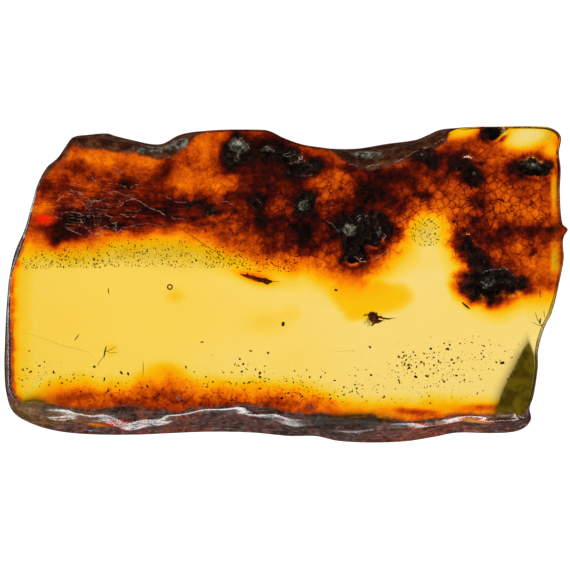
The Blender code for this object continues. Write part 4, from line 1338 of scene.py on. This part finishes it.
class Finish:
    """A material's graph. Places are Object coordinates in millimetres, and a mark is a mesh's attribute."""

    def __init__(self, name):
        self.material = bpy.data.materials.new(name)
        self.material.use_nodes = True
        self.nodes = self.material.node_tree.nodes
        self.nodes.clear()
        self.links = self.material.node_tree.links
        self.output = self.nodes.new("ShaderNodeOutputMaterial")
        coordinates = self.node("ShaderNodeTexCoord", {}, {}, "Object")
        self.place = self.node("ShaderNodeMapping", {}, {"Vector": coordinates, "Scale": (1 / MM,) * 3})

    def node(self, kind, settings, values, output=0):
        """Adds a node with its settings and the values or links of its sockets, and gives an output."""
        made = self.nodes.new(kind)
        for key, value in settings.items():
            setattr(made, key, value)
        for key, value in values.items():
            if isinstance(value, Value):
                self.links.new(value.socket, made.inputs[key])
            else:
                made.inputs[key].default_value = value
        return Value(self, made.outputs[output])

    def mark(self, name):
        """One of the mesh's attributes."""
        return self.node("ShaderNodeAttribute", {"attribute_name": name}, {}, "Fac")

    def drawn_out(self, scale, turn=0.0):
        """The place with its parts scaled, so that a pattern there is long in one direction."""
        values = {"Vector": self.place, "Rotation": (0.0, 0.0, turn), "Scale": scale}
        return self.node("ShaderNodeMapping", {}, values)

    def noise(self, size, detail=3.0, roughness=0.55, distortion=0.0, place=None):
        """Noise from 0 to 1 with lumps of a size in millimetres."""
        values = {
            "Vector": place or self.place,
            "Scale": 1 / size,
            "Detail": detail,
            "Roughness": roughness,
            "Distortion": distortion,
        }
        return self.node("ShaderNodeTexNoise", {}, values, "Fac")

    def cells(self, size, feature, place):
        """Cells of a size in millimetres: the distance from their edges or from their middles."""
        values = {"Vector": place, "Scale": 1 / size}
        return self.node("ShaderNodeTexVoronoi", {"feature": feature}, values, "Distance")

    def ramp(self, factor, stops):
        """A colour from a ramp of positions and linear colours."""
        made = self.node("ShaderNodeValToRGB", {}, {0: factor})
        elements = made.socket.node.color_ramp.elements
        while len(elements) < len(stops):
            elements.new(0.5)
        for element, (position, color) in zip(elements, stops):
            element.position = position
            element.color = (*color, 1.0)
        return made

    def blend(self, factor, first, second, how="MIX"):
        """Two colours mixed by a factor."""
        settings = {"data_type": "RGBA", "blend_type": how}
        first = (*first, 1.0) if isinstance(first, tuple) else first
        second = (*second, 1.0) if isinstance(second, tuple) else second
        return self.node("ShaderNodeMix", settings, {0: factor, 6: first, 7: second}, 2)

    def warped(self, size, amount):
        """The place pushed about by noise: the noise's colour, less a half, times an amount, added to it."""
        values = {"Vector": self.place, "Scale": 1 / size, "Detail": 2.0}
        color = self.node("ShaderNodeTexNoise", {}, values, "Color")
        middle = self.node("ShaderNodeVectorMath", {"operation": "SUBTRACT"}, {0: color, 1: (0.5, 0.5, 0.5)})
        push = self.node("ShaderNodeVectorMath", {"operation": "SCALE"}, {0: middle, "Scale": amount})
        return self.node("ShaderNodeVectorMath", {"operation": "ADD"}, {0: self.place, 1: push})

    def bump(self, height, distance):
        """A normal from a height, with the height of 1 as so many millimetres."""
        return self.node("ShaderNodeBump", {}, {"Height": height, "Distance": distance * MM}, "Normal")

    def surface(self, **values):
        """A Principled shader from its sockets, named with underscores."""
        named = {key.replace("_", " "): value for key, value in values.items()}
        return self.node("ShaderNodeBsdfPrincipled", {}, named)

    def over(self, factor, under, upper):
        """One shader over another, by how much of the other it covers."""
        return self.node("ShaderNodeMixShader", {}, {0: factor, 1: under, 2: upper})

    def done(self, surface, volume=None):
        """The material, with its surface and what is inside it."""
        self.links.new(surface.socket, self.output.inputs["Surface"])
        if volume is not None:
            self.links.new(volume.socket, self.output.inputs["Volume"])
        return self.material


def linear(red, green, blue):
    """A colour given from 0 to 255, as linear light."""
    share = np.array((red, green, blue)) / 255
    return np.where(share <= 0.04045, share / 12.92, ((share + 0.055) / 1.055) ** 2.4)


def paint(red, green, blue):
    """The same as a tuple, as sockets and ramps take it."""
    return tuple(linear(red, green, blue))


# The amber's own colour: how the clear slab looks over the table, and what it lets through on the way
PALEST = linear(247, 220, 128)
TABLE_LIGHT = 1.08
GLASS_LOSS = 0.91
AMBER_IOR = 1.54
CRUST_IOR = 1.01
ABSORPTION_DENSITY = 160.0
let_through = np.clip(PALEST / GLASS_LOSS / TABLE_LIGHT, 0.0, 0.995)
ABSORPTION_COLOR = tuple(1 + np.log(let_through) / (THICKNESS * MM * ABSORPTION_DENSITY)) + (1.0,)


def tint(red, green, blue):
    """The back face's base colour that gives a colour seen over the table. A ray takes its square root."""
    return tuple(np.clip(linear(red, green, blue) / PALEST, 0.0, 1.0) ** 2)


# The back's colours by how far the amber has turned to oxide
OXIDE_COLORS = (
    (0.00, tint(247, 220, 128)),
    (0.05, tint(248, 213, 88)),
    (0.10, tint(249, 205, 55)),
    (0.16, tint(253, 194, 8)),
    (0.24, tint(253, 172, 0)),
    (0.34, tint(245, 132, 0)),
    (0.46, tint(224, 96, 0)),
    (0.58, tint(178, 56, 0)),
    (0.70, tint(112, 22, 0)),
    (0.82, tint(60, 8, 2)),
    (0.92, tint(30, 6, 3)),
    (1.00, tint(12, 5, 3)),
)

# The amber's other looks: the size of the crazing's cells in millimetres, what haze leaves of the back's
# colour, the share of that colour that the sides have, and the roughness of what is polished
CELL_SIZE = 1.75
HAZE_TINT = (0.36, 0.32, 0.06)
SIDE_TINT = 0.35
POLISH = 0.02


def amber_finish():
    """Clear amber, tinted by its oxide, under crust in the pits and along the natural edges."""
    f = Finish("amber")
    oxide, craze, streak = f.mark("oxide"), f.mark("craze"), f.mark("streak")
    olive_tone_and_shade, haze, flare = f.mark("olive_tone_and_shade"), f.mark("haze"), f.mark("flare")
    pit, mineral, shore = f.mark("pit"), f.mark("mineral"), f.mark("shore")
    tear, near, shine = f.mark("tear"), f.mark("near"), f.mark("shine")
    edge, rind, matte, face = f.mark("edge"), f.mark("rind"), f.mark("matte"), f.mark("face")
    warmth = f.mark("warmth")

    # face is 1 in front, 0 behind and a half on the sides
    inside = 1 - face.rise(0.6, 0.9)
    on_back = 1 - face.rise(0.1, 0.4)
    on_edge = edge.rise(0.0, 0.02) * face.rise(0.2, 0.4)

    # Crazing: cells about 2 mm wide, each a little lighter or darker, with dark cracks between them
    bent = f.warped(2.4, 1.6)
    crack = f.cells(CELL_SIZE, "DISTANCE_TO_EDGE", bent)
    middle = f.cells(CELL_SIZE, "F1", bent)
    cell = f.node("ShaderNodeSeparateColor", {}, {0: middle.output("Color")})
    width = f.noise(3.0) * 0.10 + 0.004
    broken = (f.noise(2.2, 3.0, 0.65) * 0.9 + craze * 0.38).rise(0.56, 0.84)
    line = (1 - (crack / width).rise(0.2, 1.0)) * broken
    streaks = f.noise(0.9, 3.0, 0.65, 0.2, f.drawn_out((0.16, 1.0, 1.0), 0.14))
    mottle = (f.noise(0.7, 3.0, 0.7) - 0.5) * 0.30 + (f.noise(3.2, 3.0, 0.6) - 0.5) * 0.50
    each_cell = (cell - 0.5) * craze * 0.07 + (middle - 0.4) * craze * 0.16
    shade = each_cell + mottle + (streaks - 0.5) * streak * 0.6
    drawn_line = line * oxide.rise(0.10, 0.26) * (1 - oxide.rise(0.60, 0.80) * 0.7)
    level = oxide + shade * oxide.rise(0.16, 0.50) + drawn_line * (craze * 0.10 + 0.14)
    color = f.ramp(level, OXIDE_COLORS)
    hazy = haze * (f.noise(0.6, 3.0, 0.7).rise(0.35, 0.75) * 0.5 + 0.4)
    color = f.blend(hazy, color, HAZE_TINT, "MULTIPLY")
    # A greenish tint: painted shade over the broken facet, and patches of that colour on the edges
    olive_tone_and_shade_level = olive_tone_and_shade * 1.3 + (f.noise(2.5, 2.0, 0.6) - 0.5) * 0.10 * olive_tone_and_shade
    olive_tone_and_shade_color = f.blend(f.noise(4.0, 2.0, 0.6).rise(0.4, 0.65), tint(68, 52, 2), tint(98, 80, 5))
    color = f.blend(olive_tone_and_shade_level.least(1.0), color, olive_tone_and_shade_color)
    color = f.blend(flare, color, tint(255, 26, 0))
    side_color = f.blend(SIDE_TINT, (1.0, 1.0, 1.0), color)

    # Relief, as heights in millimetres: the natural edge's undulations, and the crumbs in the pits
    lumps = f.noise(3.0, 2.0, 0.4, 0.4, f.drawn_out((0.4, 1.0, 1.0)))
    grain = f.noise(0.5, 3.0, 0.65)
    crumbs = f.noise(1.3, 4.0, 0.72, 0.6)
    rough_pit = (pit + (f.noise(2.0, 3.0, 0.75) - 0.5) * 1.5).rise(0.25, 0.90) * face.rise(0.6, 0.9)
    rough_pit = rough_pit * pit.rise(0.02, 0.2)
    grey_share = (mineral + (f.noise(0.8, 3.0, 0.7) - 0.5) * 1.1).rise(0.35, 0.80)
    bumps = (lumps - 0.5) * 0.30 + (grain - 0.5) * (matte * 0.25 + 0.05)
    rugged = edge.rise(0.0, 0.25) * face.rise(0.2, 0.4) * bumps
    black = level.rise(0.88, 1.08) * (1 - olive_tone_and_shade)
    normal = f.bump(rugged, 1.0)
    crumbled = f.bump(rugged + (crumbs - 0.5) * (rough_pit + grey_share) * 0.18, 1.0)

    # The back: clear amber, and its oxidised part, which lies against its crust and mirrors nothing
    back_clear = f.surface(Base_Color=color, Roughness=POLISH, IOR=AMBER_IOR, Transmission_Weight=1.0)
    oxidised = f.surface(Base_Color=color, Roughness=0.1, IOR=CRUST_IOR, Transmission_Weight=1.0)
    settled = oxide.rise(0.12, 0.30).most(olive_tone_and_shade)
    back_skin = f.over(settled, back_clear, oxidised)
    scab = f.surface(
        Base_Color=f.blend(grain.rise(0.35, 0.7), paint(10, 5, 3), paint(34, 18, 9)),
        Roughness=0.7,
        Specular_IOR_Level=0.1,
    )
    back_skin = f.over(black, back_skin, scab)

    # The front and the sides: clear amber, a little tinted at the sides
    front_clear = f.surface(
        Base_Color=(1.0, 1.0, 1.0, 1.0),
        Roughness=POLISH,
        IOR=AMBER_IOR,
        Transmission_Weight=1.0,
    )
    side_clear = f.surface(
        Base_Color=side_color,
        Roughness=on_edge * 0.10 + POLISH,
        IOR=AMBER_IOR,
        Transmission_Weight=1.0,
        Normal=normal,
    )
    skin = f.over(inside, front_clear, side_clear)

    # The dark glossy rind of the natural edges, browner or redder from place to place. Its paler purplish
    # greys are partly painted sheen, the grey of bright surroundings mirrored in its gloss
    patches = f.noise(1.6, 5.0, 0.65, 0.5)
    brown = f.ramp(patches, (
        (0.30, paint(26, 15, 11)),
        (0.46, paint(60, 41, 35)),
        (0.58, paint(90, 68, 61)),
        (0.70, paint(150, 130, 124)),
    ))
    red = f.ramp(patches, (
        (0.30, paint(44, 12, 5)),
        (0.46, paint(112, 46, 26)),
        (0.58, paint(160, 74, 42)),
        (0.70, paint(170, 122, 104)),
    ))
    olive_brown = f.ramp(patches, (
        (0.30, paint(66, 54, 6)),
        (0.48, paint(118, 84, 24)),
        (0.62, paint(166, 116, 58)),
    ))
    rind_color = f.blend(warmth * f.noise(4.0, 3.0).rise(0.38, 0.56), brown, red)
    rind_color = f.blend(olive_tone_and_shade * 0.9, rind_color, olive_brown)
    # Pale streaks along the rind: painted sheen laid into its colour
    film = f.noise(0.7, 3.0, 0.65, 0.3, f.drawn_out((0.14, 1.0, 1.0))).rise(0.52, 0.72)
    rind_color = f.blend(film * (0.55 - olive_tone_and_shade * 0.45), rind_color, paint(150, 128, 120))
    shaded = f.mark("shade")
    rind_color = f.blend(shaded * 0.85, rind_color, paint(20, 11, 4))
    windows = f.noise(2.2, 3.0, 0.6, 0.4).rise(0.60, 0.70)
    ragged = (f.noise(3.2, 3.0, 0.65) - 0.5) * 1.1
    banks = (shore + ragged + matte * 0.28).rise(0.70, 1.15) * face.rise(0.2, 0.4)
    rind_cover = on_edge.most(banks) * (rind - windows * 0.5).rise(0.15, 0.55)
    gloss = f.surface(
        Base_Color=rind_color,
        Roughness=grain.rise(0.4, 0.7) * 0.14 + 0.08,
        IOR=AMBER_IOR,
        Specular_IOR_Level=1.0,
        Normal=normal,
    )
    quiet = f.surface(Base_Color=rind_color, Roughness=0.35, Specular_IOR_Level=0.12, Normal=normal)
    quiet_share = f.mark("quiet").most(shaded * 0.9)
    rind_skin = f.over(quiet_share, gloss, quiet)
    skin = f.over(rind_cover, skin, rind_skin)

    # Dull crumbs: in the pits, on the matte edges, and the grey mineral
    dark_color = f.ramp(crumbs, (
        (0.38, paint(8, 4, 2)),
        (0.50, paint(24, 13, 8)),
        (0.60, paint(50, 34, 24)),
        (0.70, paint(80, 68, 58)),
    ))
    grey_color = f.ramp(crumbs, (
        (0.36, paint(34, 30, 22)),
        (0.50, paint(110, 104, 86)),
        (0.64, paint(216, 208, 188)),
    ))
    matte_brown = f.ramp(patches, (
        (0.30, paint(42, 20, 9)),
        (0.48, paint(88, 44, 25)),
        (0.62, paint(134, 80, 50)),
    ))
    dull_color = f.blend(rough_pit.rise(0.0, 0.4), matte_brown, dark_color)
    dull_color = f.blend(shaded * 0.85, dull_color, paint(40, 18, 12))
    dull_color = f.blend(grey_share, dull_color, grey_color)
    dull = f.surface(Base_Color=dull_color, Roughness=0.85, Specular_IOR_Level=0.08, Normal=crumbled)
    dull_cover = rough_pit.most(grey_share).most(rind_cover * matte)
    skin = f.over(dull_cover, skin, dull)

    # Fractures that reach the polished face: thin wandering lines, broken here and there, their glints
    # painted as a pale dull colour
    wander = (f.noise(1.4, 3.0, 0.6) - 0.5) * 1.1
    hair = f.noise(0.9, 2.0) * 0.22 + 0.01
    parts = f.noise(1.1, 3.0, 0.6).rise(0.38, 0.54)
    glint = (1 - (abs(tear + wander) / hair).rise(0.3, 1.0)) * (1 - near.rise(0.35, 0.6)) * shine * parts
    painted_glint = f.surface(Base_Color=(*linear(226, 170, 138), 1.0), Roughness=0.5)
    skin = f.over(glint * 0.7, skin, painted_glint)
    skin = f.over(on_back, skin, back_skin)
    depths = {"Color": ABSORPTION_COLOR, "Density": ABSORPTION_DENSITY}
    return f.done(skin, f.node("ShaderNodeVolumeAbsorption", {}, depths))


def speck_finish(name, darkest, palest, alpha):
    """Small dark bits, each of its own shade."""
    f = Finish(name)
    shade = f.mark("shade")
    color = f.blend(shade, paint(*darkest), paint(*palest))
    color = f.blend(f.noise(0.15, 2.0).rise(0.3, 0.7) * 0.3, color, paint(*darkest))
    return f.done(f.surface(Base_Color=color, Roughness=0.6, Alpha=alpha - shade * 0.25))


def fibre_finish():
    """Thin threads, of which the finest let the light by."""
    f = Finish("fibres")
    grain = f.noise(0.2, 3.0)
    color = f.blend(grain.rise(0.3, 0.7), paint(24, 16, 4), paint(66, 48, 12))
    return f.done(f.surface(Base_Color=color, Roughness=0.6, Alpha=f.mark("solid")))


def insect_finish():
    """Dark brown chitin with a fine grain, paler and clearer where it is thin, and the wings' clear film."""
    f = Finish("insect_chitin")
    pale, film = f.mark("pale"), f.mark("film")
    grain = f.noise(0.06, 3.0, 0.6)
    color = f.ramp(f.noise(0.5, 3.0, 0.6), (
        (0.36, paint(50, 26, 8)),
        (0.50, paint(112, 40, 18)),
        (0.62, paint(150, 88, 36)),
    ))
    color = f.blend(grain.rise(0.45, 0.7) * 0.5, color, paint(160, 110, 56))
    color = f.blend(pale, color, paint(214, 130, 26))
    solid = (0.95 - pale * 0.45) * (1 - film * 0.85)
    normal = f.bump(grain, 0.03)
    return f.done(f.surface(Base_Color=color, Roughness=grain * 0.3 + 0.25, Alpha=solid, Normal=normal))


def splinter_finish():
    """A dark red-brown splinter with grain along it, near black in blotches and towards its right end."""
    f = Finish("splinter_bark")
    grain = f.noise(0.12, 4.0, 0.65, 0.2, f.drawn_out((0.15, 1.0, 1.0), 0.27))
    across = f.node("ShaderNodeSeparateXYZ", {}, {0: f.place})
    dark = (f.noise(0.8, 3.0) * 0.6 + across.rise(-9.0, -4.5) * 0.5).rise(0.40, 0.65)
    color = f.ramp(grain, (
        (0.32, paint(130, 14, 3)),
        (0.50, paint(186, 44, 8)),
        (0.66, paint(214, 96, 26)),
    ))
    color = f.blend(dark * 0.8, color, paint(78, 40, 14))
    return f.done(f.surface(Base_Color=color, Roughness=0.75, Alpha=0.92, Normal=f.bump(grain, 0.08)))


# Lights, with their places and sizes in metres and their power in watts. The two strips stand 38 degrees up,
# where the natural edge's ridge mirrors them to a camera above it.
SOFTBOXES = (
    ("light_front", (0.0, -0.80, 0.28), (1.2, 0.34), 0.5),
    ("strip_front", (0.05, -0.70, 0.547), (0.9, 0.17), 4.4),
    ("light_left", (-0.80, 0.0, 0.28), (1.0, 0.34), 0.6),
    ("strip_left", (-0.70, 0.0, 0.547), (0.7, 0.10), 2.4),
    ("light_back", (0.0, 0.80, 0.30), (1.2, 0.34), 0.6),
    ("light_right", (0.80, 0.0, 0.28), (1.0, 0.34), 0.6),
)
ROOM_LIGHT = 0.04

# The table and the camera, in metres, with the lens and its sensor in millimetres
TABLE_REACH = 4.0
TABLE_DROP = 0.0005
PHOTO_SIZE = 570
LENS = 280.0
SENSOR = 36.0
CAMERA_LIFT = 0.010
CLIP_START = 0.05
CLIP_END = 20.0


def softbox(name, place, size, power):
    """A plain rectangular studio light, aimed at the middle of the slab."""
    data = bpy.data.lights.new(name, "AREA")
    data.shape = "RECTANGLE"
    data.size, data.size_y = size
    data.energy = power
    light = bpy.data.objects.new(name, data)
    bpy.context.scene.collection.objects.link(light)
    light.location = place
    x, y, z = 0.0 - np.array(place)
    light.rotation_euler = (math.atan2(math.hypot(x, y), -z), 0.0, math.atan2(y, x) - math.pi / 2)


def studio():
    """A white table that glows, soft light from the sides, a dim room and a camera straight above."""
    scene = bpy.context.scene
    scene.view_settings.view_transform = "Standard"
    world = bpy.data.worlds.new("room")
    scene.world = world
    world.use_nodes = True
    room = world.node_tree.nodes["Background"].inputs
    room["Color"].default_value = (1.0, 1.0, 1.0, 1.0)
    room["Strength"].default_value = ROOM_LIGHT

    mesh = bpy.data.meshes.new("table")
    corners = ((-1, -1), (1, -1), (1, 1), (-1, 1))
    points = [(x * TABLE_REACH, y * TABLE_REACH, -TABLE_DROP) for x, y in corners]
    mesh.from_pydata(points, [], [(0, 1, 2, 3)])
    table = bpy.data.objects.new("table", mesh)
    scene.collection.objects.link(table)
    paper = Finish("table")
    mesh.materials.append(paper.done(paper.surface(
        Base_Color=(0.3, 0.3, 0.3, 1.0),
        Roughness=0.9,
        Emission_Color=(1.0, 1.0, 1.0, 1.0),
        Emission_Strength=1.0,
    )))

    # As if black cards stood close round the slab, its steep natural edges don't mirror the bright table
    table.visible_glossy = False
    for box in SOFTBOXES:
        softbox(*box)

    data = bpy.data.cameras.new("camera")
    data.lens = LENS
    data.sensor_width = SENSOR
    data.clip_start = CLIP_START
    data.clip_end = CLIP_END
    camera = bpy.data.objects.new("camera", data)
    scene.collection.objects.link(camera)
    height = PHOTO_SIZE * PIXEL * MM * LENS / SENSOR + CAMERA_LIFT
    middle_x = (PHOTO_SIZE / 2 - PHOTO_MIDDLE[0]) * PIXEL * MM
    middle_y = (PHOTO_MIDDLE[1] - PHOTO_SIZE / 2) * PIXEL * MM
    camera.location = (middle_x, middle_y, height)
    scene.camera = camera


studio()

amber = amber_slab()
amber.data.materials.append(amber_finish())
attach(amber, "root")
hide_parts("amber_upper_half", "amber_lower_half")

bits = (
    (specks(), speck_finish("specks", (14, 8, 2), (66, 46, 10), 1.0), "bark"),
    (dust(), speck_finish("dust", (30, 22, 4), (92, 74, 16), 0.85), "bark"),
    (fibres(), fibre_finish(), "bark"),
    (splinter(), splinter_finish(), "bark"),
    (insect(), insect_finish(), "chitin"),
)
for piece, finish, slot in bits:
    piece.data.materials.append(finish)
    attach(piece, "root")
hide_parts("bark_splinter")
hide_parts("insect")
